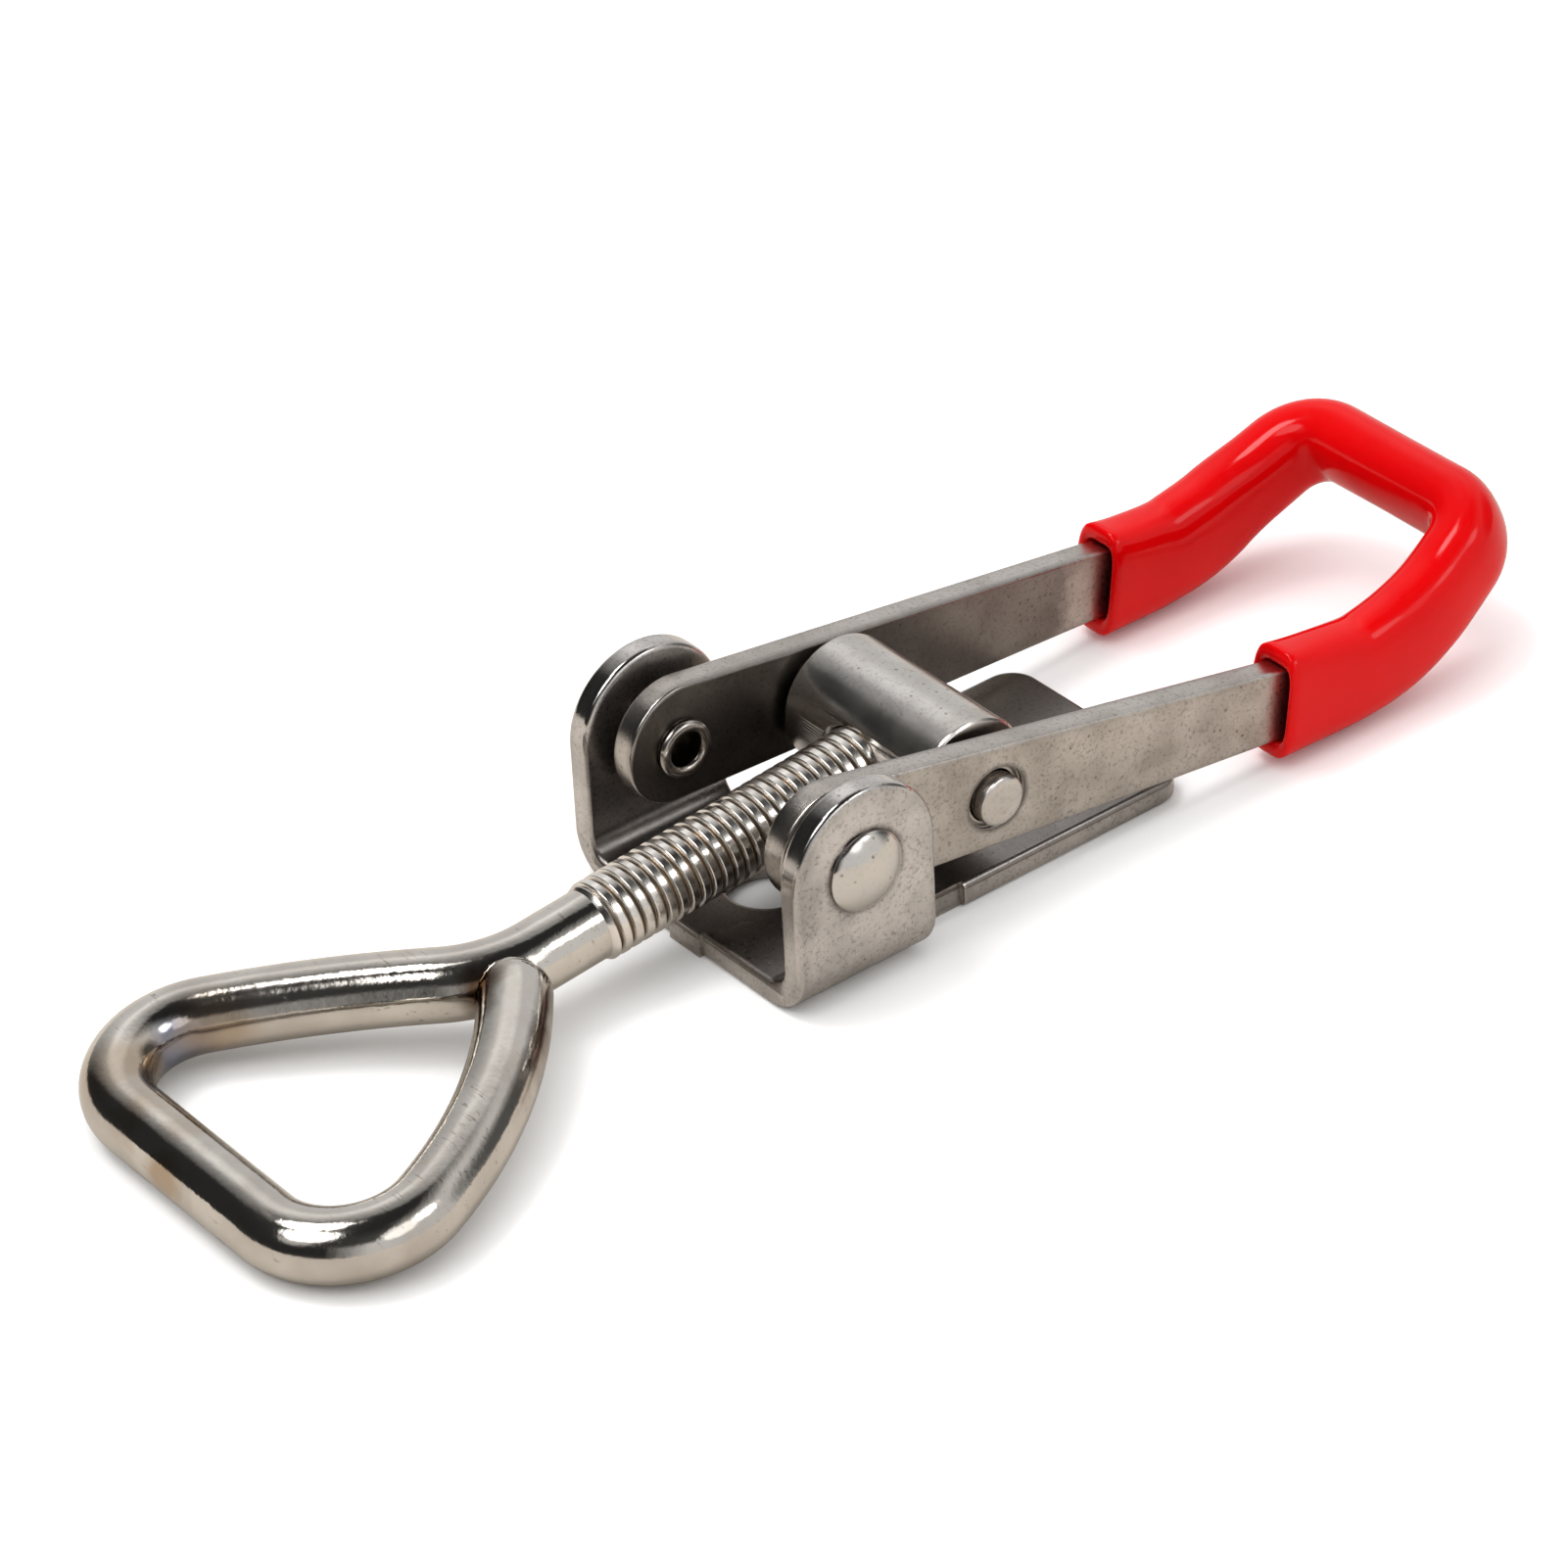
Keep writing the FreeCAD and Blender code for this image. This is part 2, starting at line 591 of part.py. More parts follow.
# Pivot rivets: a domed head outside the ear and a flared hollow end inside the arm
head = size("head_radius")
head_high = size("head_high") - size("head_edge")
dome = (head * head + head_high * head_high) / (head_high * 2)
shank = size("rivet_shank")
flare_y = fore - half_bar - size("flare_gap")
flare_end = flare_y - size("flare_long")
bore = size("bore_radius")
flare = size("flare_radius")
flare_edge = size("flare_edge")
for side, word in ((-1, "near"), (1, "far")):
    rivet = new_body(f"pivot_rivet_{word}", (pivot_x, ZERO, pivot_z))
    outline = new_sketch(rivet, f"{word}_rivet_outline", "XY_Plane")
    rim_y = ear_half + size("head_edge")
    top_y = ear_half + size("head_high")
    draw_path(outline, (ZERO, top_y * side), [
        (head, rim_y * side, dome, -side), (head, ear_half * side), (shank, ear_half * side),
        (shank, flare_y * side), (flare, (flare_y - flare_edge) * side),
        (flare, (flare_end + flare_edge) * side), (flare - flare_edge, flare_end * side),
        (bore + size("lip_wide"), flare_end * side), (bore, (flare_end + size("lip_deep")) * side),
        (bore, (flare_end + size("bore_deep")) * side), (ZERO, (flare_end + size("bore_deep")) * side),
        (ZERO, top_y * side)])
    spin(rivet, f"{word}_rivet", outline)

# Barrel: turned cross pin with a stub at each end and a tapped hole for the rod
barrel = new_body("trunnion", (barrel_x, ZERO, barrel_z), DOWN_Y, rod_tilt)
big = size("barrel_radius")
arm_level = fore + spread * reach
big_half = arm_level - half_bar - size("barrel_gap")
chamfer = size("barrel_edge")
pin = size("pin_radius")
pin_end = arm_level + half_bar + size("pin_proud")
pin_edge = size("pin_edge")
turned = new_sketch(barrel, "barrel_outline", "XY_Plane")
draw_path(turned, (ZERO, -pin_end), [
    (pin - pin_edge, -pin_end), (pin, pin_edge - pin_end), (pin, -big_half), (big - chamfer, -big_half),
    (big, chamfer - big_half), (big, big_half - chamfer), (big - chamfer, big_half), (pin, big_half),
    (pin, pin_end - pin_edge), (pin - pin_edge, pin_end), (ZERO, pin_end), (ZERO, -pin_end)])
spin(barrel, "barrel", turned)
tapped = new_sketch(barrel, "tap_outline", "YZ_Plane", (ZERO, ZERO, big + slack * 2))
draw_circle(tapped, ZERO, ZERO, size("tap_radius"))
cut(barrel, "tapped_hole", tapped, big * 2 + slack * 4)
front_mouth = new_sketch(barrel, "front_mouth_outline", "YZ_Plane", (ZERO, ZERO, size("tap_sink") - big))
draw_circle(front_mouth, ZERO, ZERO, size("tap_mouth"))
cut(barrel, "front_mouth", front_mouth, size("tap_sink") + slack * 2)
rear_mouth = new_sketch(barrel, "rear_mouth_outline", "YZ_Plane", (ZERO, ZERO, big + slack * 2))
draw_circle(rear_mouth, ZERO, ZERO, size("tap_mouth"))
cut(barrel, "rear_mouth", rear_mouth, size("tap_sink") + slack * 2)

# Hook: one rod, bent round to a three sided loop whose free end butts on the shank
hook = new_body("hook_wire", (barrel_x, ZERO, barrel_z), DOWN_Y, rod_tilt)
wire = size("wire_radius")
rod_front = size("shank_plain") - size("neck_reach")

# Front of the loop: from the middle of the far leg round to the tip of the near leg
loop_path = new_sketch(hook, "loop_path", "XY_Plane")
draw_path(loop_path, join_point, [
    far_point + (far_round, 1), front_point + (far_corner, 1), near_point,
    back_point + (near_corner, 1), butt_point + (near_round, 1), tip_point], closed=False)
loop_base = (join_point[1], ZERO, join_point[0])
loop_section = new_sketch(hook, "loop_section", "YZ_Plane", loop_base, DOWN_Y, half_bowed)
draw_circle(loop_section, ZERO, ZERO, wire)
sweep(hook, "loop", loop_section, loop_path)

# The tip is cut to lie along the neck with a narrow gap
relief_path = new_sketch(hook, "relief_path", "XY_Plane")
draw_path(relief_path, (rod_front, ZERO), [
    neck_point, leg_point + (neck, -1)], closed=False)
relief_section = new_sketch(hook, "relief_section", "YZ_Plane", (ZERO, ZERO, rod_front))
draw_circle(relief_section, ZERO, ZERO, wire + size("butt_gap"))
before = hook.Shape.Volume
relief = hook.newObject("PartDesign::SubtractivePipe", "tip_relief")
relief.Profile = relief_section
relief.Spine = relief_path
doc.recompute()
removed(relief, before, "tip_relief")

# Shank, neck bend and far leg
shank_path = new_sketch(hook, "shank_path", "XY_Plane")
draw_path(shank_path, (rod_front, ZERO), [
    neck_point, leg_point + (neck, -1), join_point + (far_round, 1)], closed=False)
shank_section = new_sketch(hook, "shank_section", "YZ_Plane", (ZERO, ZERO, rod_front))
draw_circle(shank_section, ZERO, ZERO, wire)
sweep(hook, "shank", shank_section, shank_path)

# Threaded end, drawn at its outer diameter
screw = size("thread_radius")
edge = size("thread_edge")
stud_front = rod_front - size("run_out")
rod_rear = size("thread_aft")
rod = new_body("hook_stud", (barrel_x, ZERO, barrel_z), DOWN_Y, rod_tilt)
stud = new_sketch(rod, "stud_outline", "XY_Plane")
draw_path(stud, (stud_front, ZERO), [
    (rod_rear, ZERO), (rod_rear, -(screw - edge)), (rod_rear - edge, -screw), (rod_front, -screw),
    (stud_front, -(wire - size("run_step"))), (stud_front, ZERO)])
stud_turn = rod.newObject("PartDesign::Revolution", "stud")
stud_turn.Profile = stud
stud_turn.ReferenceAxis = (stud, ["H_Axis"])
stud_turn.Angle = 360
doc.recompute()
whole_hook = doc.addObject("Part::Fuse", "hook_rod")
whole_hook.Label = "hook_rod"
whole_hook.Base = hook
whole_hook.Tool = rod
whole_hook.Refine = True
doc.recompute()

PIECES = {
    "base_bracket": base,
    "handle_bar": bar,
    "grip_sleeve": sleeve,
    "pivot_rivet_near": doc.getObject("pivot_rivet_near"),
    "pivot_rivet_far": doc.getObject("pivot_rivet_far"),
    "trunnion": barrel,
    "hook_rod": whole_hook,
}

for item in doc.Objects:
    if "Invalid" in item.State or "Error" in item.State:
        raise RuntimeError(f"{item.Label} failed: {item.State}")
os.makedirs("parts", exist_ok=True)
for name, piece in PIECES.items():
    shape = piece.Shape
    if shape.isNull() or not shape.isValid() or len(shape.Solids) != 1:
        raise RuntimeError(f"{name} is not one valid solid")
    box = shape.BoundBox
    print(f"{name}: {shape.Volume / 1000:.3f} cm3, x {box.XMin:.2f} {box.XMax:.2f},"
          f" y {box.YMin:.2f} {box.YMax:.2f}, z {box.ZMin:.2f} {box.ZMax:.2f}")
    shape.exportStep(f"parts/{name}.step")
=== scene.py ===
import math

import bmesh
import bpy
from mathutils import Matrix, Vector, noise


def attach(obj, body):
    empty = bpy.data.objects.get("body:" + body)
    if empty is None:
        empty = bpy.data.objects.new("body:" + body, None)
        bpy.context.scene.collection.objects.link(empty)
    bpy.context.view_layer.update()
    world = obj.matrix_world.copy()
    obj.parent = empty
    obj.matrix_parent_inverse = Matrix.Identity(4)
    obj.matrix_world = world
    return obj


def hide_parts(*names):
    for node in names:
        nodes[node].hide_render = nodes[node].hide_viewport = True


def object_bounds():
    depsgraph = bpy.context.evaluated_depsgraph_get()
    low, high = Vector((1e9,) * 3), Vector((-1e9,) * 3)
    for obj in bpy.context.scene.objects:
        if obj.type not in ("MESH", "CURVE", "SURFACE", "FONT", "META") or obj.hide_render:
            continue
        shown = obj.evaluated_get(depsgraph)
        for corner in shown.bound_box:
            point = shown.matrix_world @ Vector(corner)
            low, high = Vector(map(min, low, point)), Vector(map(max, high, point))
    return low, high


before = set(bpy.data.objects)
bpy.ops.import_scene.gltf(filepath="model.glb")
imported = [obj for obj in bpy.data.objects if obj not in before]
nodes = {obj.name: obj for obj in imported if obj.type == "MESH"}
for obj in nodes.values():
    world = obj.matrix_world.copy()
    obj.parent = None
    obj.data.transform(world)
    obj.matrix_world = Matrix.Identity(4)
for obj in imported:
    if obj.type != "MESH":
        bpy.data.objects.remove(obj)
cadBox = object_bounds()
print("stage: frame loaded")

mm = 0.001
everywhere = 99.0  # farther out than any face of the part

# tones of the finishes, linear
tones = {
    "bracket": (0.66, 0.63, 0.61),
    "bracketDark": (0.44, 0.42, 0.405),
    "bar": (0.565, 0.525, 0.485),
    "barDark": (0.40, 0.36, 0.325),
    "edge": (0.74, 0.70, 0.66),
    "thread": (0.84, 0.80, 0.75),
    "rivet": (0.64, 0.615, 0.59),
    "turned": (0.54, 0.50, 0.455),
    "polished": (0.68, 0.645, 0.59),
    "tan": (0.40, 0.28, 0.165),
    "brown": (0.12, 0.065, 0.03),
    # sootAndShade: real soot specks, and the painted shade of inner faces, rings and edge bands
    "sootAndShade": (0.10, 0.085, 0.075),
    "groove": (0.13, 0.095, 0.065),
    "blue": (0.16, 0.20, 0.30),
    "red": (0.61, 0.001, 0.002),
    "redDeep": (0.54, 0.001, 0.002),
    # redPaintedShade: painted shade deep in the sleeve's mouths
    "redPaintedShade": (0.30, 0.001, 0.002),
    "redSpeck": (0.9, 0.45, 0.40),
    "paper": (0.94, 0.935, 0.93),
    "paperDim": (0.50, 0.46, 0.415),
    "paperTan": (0.58, 0.54, 0.49),
    "light": (1.0, 1.0, 1.0),
}


# makes and links the nodes of one tree
class Net:
    def __init__(self, tree):
        self.tree = tree

    def node(self, kind, inputs=None, **settings):
        made = self.tree.nodes.new(kind)
        for key, value in settings.items():
            setattr(made, key, value)
        for key, value in (inputs or {}).items():
            self.feed(value, made.inputs[key])
        return made

    def feed(self, value, socket):
        if isinstance(value, bpy.types.NodeSocket):
            self.tree.links.new(value, socket)
        elif isinstance(value, (tuple, list)) and socket.type == "RGBA" and len(value) == 3:
            socket.default_value = (*value, 1.0)
        else:
            socket.default_value = value

    def math(self, operation, a, b=0.0, clamp=False):
        return self.node(
            "ShaderNodeMath", {0: a, 1: b}, operation=operation, use_clamp=clamp
        ).outputs[0]

    def mix(self, factor, a, b):
        made = self.node("ShaderNodeMix", data_type="RGBA")
        self.feed(factor, made.inputs["Factor"])
        self.feed(a, made.inputs[6])
        self.feed(b, made.inputs[7])
        return made.outputs[2]

    def tint(self, colour, mask, amount, tone):
        return self.mix(self.math("MULTIPLY", mask, amount), colour, tones[tone])

    def ramp(self, value, low, high, start=0.0, end=1.0):
        return self.node(
            "ShaderNodeMapRange",
            {"Value": value, "From Min": low, "From Max": high, "To Min": start, "To Max": end},
            clamp=True,
        ).outputs[0]

    def place(self):
        return self.node("ShaderNodeTexCoord").outputs["Object"]

    def axis(self, vector, letter):
        return self.node("ShaderNodeSeparateXYZ", {0: vector}).outputs[letter]

    def noise(self, place, scale, detail=3.0, rough=0.5, warp=0.0):
        return self.node(
            "ShaderNodeTexNoise",
            {"Vector": place, "Scale": scale, "Detail": detail, "Roughness": rough,
             "Distortion": warp},
        ).outputs["Fac"]

    # noise about nought, which makes a mask ragged
    def ragged(self, place, scale, detail):
        return self.math("SUBTRACT", self.noise(place, scale, detail, 0.6), 0.5)

    def cells(self, place, scale):
        return self.node(
            "ShaderNodeTexVoronoi", {"Vector": place, "Scale": scale, "Randomness": 1.0}).outputs

    def attribute(self, name):
        return self.node("ShaderNodeAttribute", attribute_name=name).outputs["Fac"]

    def vector(self, operation, a, b=(0.0, 0.0, 0.0), out="Vector"):
        return self.node("ShaderNodeVectorMath", {0: a, 1: b}, operation=operation).outputs[out]

    def use(self, group, inputs=None):
        return self.node("ShaderNodeGroup", inputs, node_tree=group).outputs


def newMaterial(name):
    material = bpy.data.materials.new(name)
    material.use_nodes = True
    material.node_tree.nodes.clear()
    return material, Net(material.node_tree)


floatSocket = "NodeSocketFloat"
vectorSocket = "NodeSocketVector"


def newGroup(name, inputs, outputs):
    group = bpy.data.node_groups.new(name, "ShaderNodeTree")
    for label, kind, value in inputs:
        socket = group.interface.new_socket(label, in_out="INPUT", socket_type=kind)
        socket.default_value = value
    for label in outputs:
        group.interface.new_socket(label, in_out="OUTPUT", socket_type=floatSocket)
    given, result = group.nodes.new("NodeGroupInput"), group.nodes.new("NodeGroupOutput")
    return group, Net(group), given.outputs, result.inputs


# worn edges: 1 on a sharp edge, 0 on a flat face
def makeEdgeGroup():
    flatFrom, sharpTo = 0.995, 0.86  # how far the rounded normal agrees with the plain one
    patchFrom, patchTo, patchLeast = 0.30, 0.58, 0.35
    group, net, given, result = newGroup(
        "wornEdge", [("Width", floatSocket, 0.0004), ("Patchy", floatSocket, 900.0)], ["Mask"])
    rounded = net.node("ShaderNodeBevel", {"Radius": given["Width"]}, samples=4)
    flat = net.node("ShaderNodeNewGeometry").outputs["Normal"]
    same = net.vector("DOT_PRODUCT", rounded.outputs[0], flat, "Value")
    patch = net.noise(net.place(), given["Patchy"], 4.0, 0.6)
    edge = net.ramp(same, flatFrom, sharpTo)
    broken = net.ramp(patch, patchFrom, patchTo, patchLeast, 1.0)
    net.feed(net.math("MULTIPLY", edge, broken), result["Mask"])
    return group


# blasted or tumbled surface: a fine grain, sparse pits and slow cloudy tone
def makeGrainGroup():
    rareFrom, rareTo = 0.72, 0.76  # share of the cells that hold no pit
    pitOuter, pitInner, pitDepth = 0.26, 0.06, 1.6
    cloudScale = 260.0
    group, net, given, result = newGroup(
        "blastedGrain", [("Grain", floatSocket, 9000.0), ("Pits", floatSocket, 1500.0)],
        ["Height", "Pit", "Cloud"])
    place = net.place()
    grain = net.noise(place, given["Grain"], 2.0, 0.6)
    cell = net.cells(place, given["Pits"])
    rare = net.ramp(cell["Color"], rareFrom, rareTo)
    hole = net.ramp(cell["Distance"], pitOuter, pitInner)
    pit = net.math("MULTIPLY", rare, hole)
    cloud = net.noise(place, cloudScale, 4.0, 0.55)
    net.feed(net.math("SUBTRACT", grain, net.math("MULTIPLY", pit, pitDepth)), result["Height"])
    net.feed(pit, result["Pit"])
    net.feed(cloud, result["Cloud"])
    return group


# a stain round one spot of the part, broken up by noise
def makeSpotGroup():
    outer, inner, patchScale = 1.1, 0.55, 700.0
    group, net, given, result = newGroup(
        "spot",
        [("Centre", vectorSocket, (0.0, 0.0, 0.0)), ("Radius", floatSocket, 0.002),
         ("Ragged", floatSocket, 0.4)],
        ["Mask"])
    place = net.place()
    away = net.vector("DISTANCE", place, given["Centre"], "Value")
    ratio = net.math("DIVIDE", away, given["Radius"])
    patch = net.ragged(place, patchScale, 4.0)
    ratio = net.math("ADD", ratio, net.math("MULTIPLY", patch, given["Ragged"]))
    net.feed(net.ramp(ratio, outer, inner), result["Mask"])
    return group


# fine lines drawn along one axis, as a tool leaves them, and the deepest of them as scratches
def makeLineGroup():
    scratchFrom, scratchTo = 0.62, 0.74
    group, net, given, result = newGroup(
        "toolLines",
        [("Stretch", vectorSocket, (40.0, 4000.0, 4000.0)),
         ("Turn", vectorSocket, (0.0, 0.0, 0.0))],
        ["Height", "Scratch"])
    turned = net.node("ShaderNodeMapping", {
        "Vector": net.place(), "Rotation": given["Turn"], "Scale": given["Stretch"]})
    lines = net.noise(turned.outputs[0], 1.0, 3.0, 0.65)
    net.feed(lines, result["Height"])
    net.feed(net.ramp(lines, scratchFrom, scratchTo), result["Scratch"])
    return group


# painted contact shadow in the gap round a rivet or a pin, which stands along Y
def makeShadowRingGroup():
    outer, inner, patchScale, patchShare = 1.0, 0.1, 1400.0, 0.9
    group, net, given, result = newGroup(
        "contactShadowRing",
        [("Centre", vectorSocket, (0.0, 0.0, 0.0)), ("Radius", floatSocket, 0.003),
         ("Width", floatSocket, 0.0005), ("Across", floatSocket, 1.0)],
        ["Mask"])
    flat = net.vector("MULTIPLY", net.place(), (1.0, 0.0, 1.0))
    away = net.vector("DISTANCE", flat, given["Centre"], "Value")
    past = net.math("SUBTRACT", away, given["Radius"])
    ratio = net.math("DIVIDE", past, given["Width"])
    patch = net.ragged(net.place(), patchScale, 3.0)
    ratio = net.math("ADD", ratio, net.math("MULTIPLY", patch, patchShare))
    across = net.axis(net.place(), "Y")
    within = net.math("LESS_THAN", net.math("ABSOLUTE", across), given["Across"])
    net.feed(net.math("MULTIPLY", net.ramp(ratio, outer, inner), within), result["Mask"])
    return group


# painted shade on inward faces: Across is their place at the origin, Spread how much they splay
def makeInnerShadeGroup():
    outside, inside, patchScale, patchReach = 0.0003, -0.0002, 300.0, 0.006
    group, net, given, result = newGroup(
        "innerFacesShade",
        [("Across", floatSocket, 0.0105), ("Spread", floatSocket, 0.0),
         ("Above", floatSocket, -1.0), ("From", floatSocket, 1.0), ("To", floatSocket, 0.9)],
        ["Mask"])
    parts = net.node("ShaderNodeSeparateXYZ", {0: net.place()}).outputs
    level = net.math("ABSOLUTE", parts["Y"])
    level = net.math("SUBTRACT", level, net.math("MULTIPLY", parts["X"], given["Spread"]))
    level = net.math("SUBTRACT", level, given["Across"])
    mask = net.ramp(level, outside, inside)
    high = net.math("GREATER_THAN", parts["Z"], given["Above"])
    patch = net.ragged(net.place(), patchScale, 4.0)
    along = net.math("ADD", parts["X"], net.math("MULTIPLY", patch, patchReach))
    near = net.ramp(along, given["From"], given["To"])
    mask = net.math("MULTIPLY", mask, net.math("MULTIPLY", high, near))
    net.feed(mask, result["Mask"])
    return group


edgeGroup = makeEdgeGroup()
grainGroup = makeGrainGroup()
spotGroup = makeSpotGroup()
lineGroup = makeLineGroup()
shadowRingGroup = makeShadowRingGroup()
innerShadeGroup = makeInnerShadeGroup()
print("stage: groups of the finishes")


# other inputs of the shader are given by name, with _ for a space
def surface(net, colour, rough, bump=None, strength=0.1, reach=0.00003, **others):
    shader = net.node("ShaderNodeBsdfPrincipled")
    net.feed(colour, shader.inputs["Base Color"])
    net.feed(rough, shader.inputs["Roughness"])
    for key, value in others.items():
        net.feed(value, shader.inputs[key.replace("_", " ")])
    if bump is not None:
        relief = net.node(
            "ShaderNodeBump", {"Height": bump, "Strength": strength, "Distance": reach})
        net.feed(relief.outputs[0], shader.inputs["Normal"])
    out = net.node("ShaderNodeOutputMaterial")
    net.feed(shader.outputs[0], out.inputs["Surface"])


# what the satin finishes share; rim is the band of each sheet's edge faces
steelLook = {
    "cloudFrom": 0.34, "cloudTo": 0.66,
    "fineScale": 3600.0, "fineFrom": 0.52, "fineTo": 0.66,
    "pits": 0.75, "scratches": 0.45,
    "roughFrom": 0.3, "roughTo": 0.7, "roughSpread": 0.06, "edgeRough": 0.11,
    "rimFacing": 0.92, "rimTurned": 0.55, "rimFrom": 3.0, "rimTo": 4.5,
    "rimPolishAndHighlight": 2.0, "lineWidth": 2.6, "linePatchy": 500.0, "paintedBandDark": 0.5,
}


def satinSteel(
    name, tone, dark, rough, grain=9000.0, bump=0.12, stretch=None, wear=0.75, width=0.45,
    speckle=0.25, ring=None, inner=None, rim=0.0,
):
    look = steelLook
    material, net = newMaterial(name)
    skin = net.use(grainGroup, {"Grain": grain})
    edge = net.use(edgeGroup, {"Width": width * mm})["Mask"]
    cloud = net.ramp(skin["Cloud"], look["cloudFrom"], look["cloudTo"])
    fine = net.noise(net.place(), look["fineScale"], 4.0, 0.7)
    fine = net.ramp(fine, look["fineFrom"], look["fineTo"])
    colour = net.mix(cloud, tones[dark], tones[tone])
    colour = net.tint(colour, fine, speckle, "sootAndShade")
    colour = net.tint(colour, skin["Pit"], look["pits"], "brown")
    # painted shade on the faces that look inwards
    if inner is not None:
        dull = net.use(innerShadeGroup, {
            "Across": inner["across"] * mm, "Spread": inner["slope"],
            "Above": inner["above"] * mm, "From": inner["start"] * mm, "To": inner["end"] * mm})
        colour = net.tint(colour, dull["Mask"], inner["amount"], "sootAndShade")
    # painted contact shadow round a rivet or pin, and painted shade in a hollow bore
    if ring is not None:
        ringShadow = net.use(shadowRingGroup, {
            "Centre": (ring["x"] * mm, 0.0, ring["z"] * mm), "Radius": ring["radius"] * mm,
            "Width": ring["width"] * mm, "Across": ring["across"] * mm})
        colour = net.tint(colour, ringShadow["Mask"], ring["amount"], "sootAndShade")
    final = net.ramp(
        skin["Cloud"], look["roughFrom"], look["roughTo"], rough + look["roughSpread"],
        rough - look["roughSpread"])
    # rim: edge faces glossier and lighter, real polish with a painted highlight
    if rim:
        facing = net.node("ShaderNodeNewGeometry").outputs["Normal"]
        facing = net.axis(facing, "Y")
        side = net.ramp(net.math("ABSOLUTE", facing), look["rimFacing"], look["rimTurned"])
        above = net.axis(net.place(), "Z")
        high = net.ramp(above, look["rimFrom"] * mm, look["rimTo"] * mm)
        side = net.math("MULTIPLY", side, high)
        final = net.math("SUBTRACT", final, net.math("MULTIPLY", side, rim), clamp=True)
        colour = net.tint(colour, side, rim * look["rimPolishAndHighlight"], "edge")
        # painted dark band beside the worn edges
        wide = net.use(edgeGroup, {
            "Width": width * look["lineWidth"] * mm, "Patchy": look["linePatchy"]})["Mask"]
        line = net.math("SUBTRACT", wide, edge, clamp=True)
        colour = net.tint(colour, line, look["paintedBandDark"], "sootAndShade")
    colour = net.tint(colour, edge, wear, "edge")
    height = skin["Height"]
    if stretch is not None:
        lines = net.use(lineGroup, {"Stretch": stretch})
        height = net.math("ADD", height, lines["Height"])
        colour = net.tint(colour, lines["Scratch"], look["scratches"], dark)
    polish = net.math("MULTIPLY", edge, rough - look["edgeRough"])
    final = net.math("SUBTRACT", final, polish, clamp=True)
    surface(net, colour, final, height, bump, Metallic=1.0)
    return material


hookLook = {
    "cloudScale": 180.0, "cloudFrom": 0.35, "cloudTo": 0.7,
    "stainScale": 120.0, "stainFrom": 0.58, "stainTo": 0.74, "stain": 0.45,
    "stretch": (2600.0, 320.0, 2600.0), "turn": (0.0, 0.0, 0.5),
    "patchScale": 90.0, "patchFrom": 0.50, "patchTo": 0.60, "worn": 0.7,
    "dull": 0.15, "bright": 0.07, "scratchRough": 0.12,
    "fineScale": 2600.0, "fine": 0.34, "waves": 2.6, "bump": 0.3, "reach": 0.00009,
}
# stains on the hook: place in the part and radius in millimetres, tone and strength
hookSpots = [
    ((-54.8, 10.4, 3.4), 2.8, "blue", 0.85),
    ((-53.0, 8.8, 4.6), 3.4, "tan", 0.60),
    ((-57.5, 8.4, 5.0), 3.0, "tan", 0.50),
    ((-61.0, 9.5, 5.0), 3.0, "tan", 0.40),
    ((-60.6, 4.6, 5.0), 2.4, "tan", 0.35),
    ((-60.6, 0.8, 5.0), 2.0, "tan", 0.30),
    ((-37.0, -1.6, 5.6), 2.5, "brown", 0.92),
    ((-38.8, -1.8, 7.0), 2.0, "brown", 0.80),
    ((-39.6, -3.6, 6.8), 1.6, "brown", 0.55),
    ((-37.2, -8.8, 5.6), 2.0, "brown", 0.75),
    ((-39.6, -10.0, 4.6), 1.8, "brown", 0.45),
    ((-64.6, -0.8, 3.0), 2.4, "tan", 0.75),
    ((-62.5, -3.2, 2.6), 1.8, "brown", 0.45),
]


def hookSteel(name):
    look = hookLook
    material, net = newMaterial(name)
    place = net.place()
    cloud = net.noise(place, look["cloudScale"], 4.0, 0.55)
    fine = net.noise(place, look["fineScale"], 3.0, 0.6)
    stain = net.noise(place, look["stainScale"], 3.0, 0.6, 0.4)
    stain = net.ramp(stain, look["stainFrom"], look["stainTo"])
    colour = net.mix(
        net.ramp(cloud, look["cloudFrom"], look["cloudTo"]), tones["turned"], tones["polished"])
    colour = net.tint(colour, stain, look["stain"], "tan")
    for centre, radius, tone, amount in hookSpots:
        centre = tuple(value * mm for value in centre)
        mark = net.use(spotGroup, {"Centre": centre, "Radius": radius * mm})["Mask"]
        colour = net.tint(colour, mark, amount, tone)
    lines = net.use(lineGroup, {"Stretch": look["stretch"], "Turn": look["turn"]})
    patches = net.noise(place, look["patchScale"], 2.0, 0.5)
    patches = net.ramp(patches, look["patchFrom"], look["patchTo"])
    worn = net.math("MULTIPLY", lines["Scratch"], patches)
    colour = net.tint(colour, worn, look["worn"], "groove")
    rough = net.ramp(cloud, 0.3, 0.7, look["dull"], look["bright"])
    rough = net.math("ADD", rough, net.math("MULTIPLY", lines["Scratch"], look["scratchRough"]))
    waves = net.math("MULTIPLY", cloud, look["waves"])
    height = net.math("ADD", waves, net.math("MULTIPLY", fine, look["fine"]))
    surface(net, colour, rough, height, look["bump"], look["reach"], Metallic=1.0)
    return material


threadLook = {
    "rootFrom": 0.62, "rootTo": 0.10, "rootDark": 0.92, "rootRough": 0.20,
    "cloudScale": 420.0, "cloudFrom": 0.30, "cloudTo": 0.5, "stainFrom": 0.45, "stainTo": 0.72,
    "dull": 0.26, "bright": 0.15, "fineScale": 3200.0, "bump": 0.25, "reach": 0.00004,
}


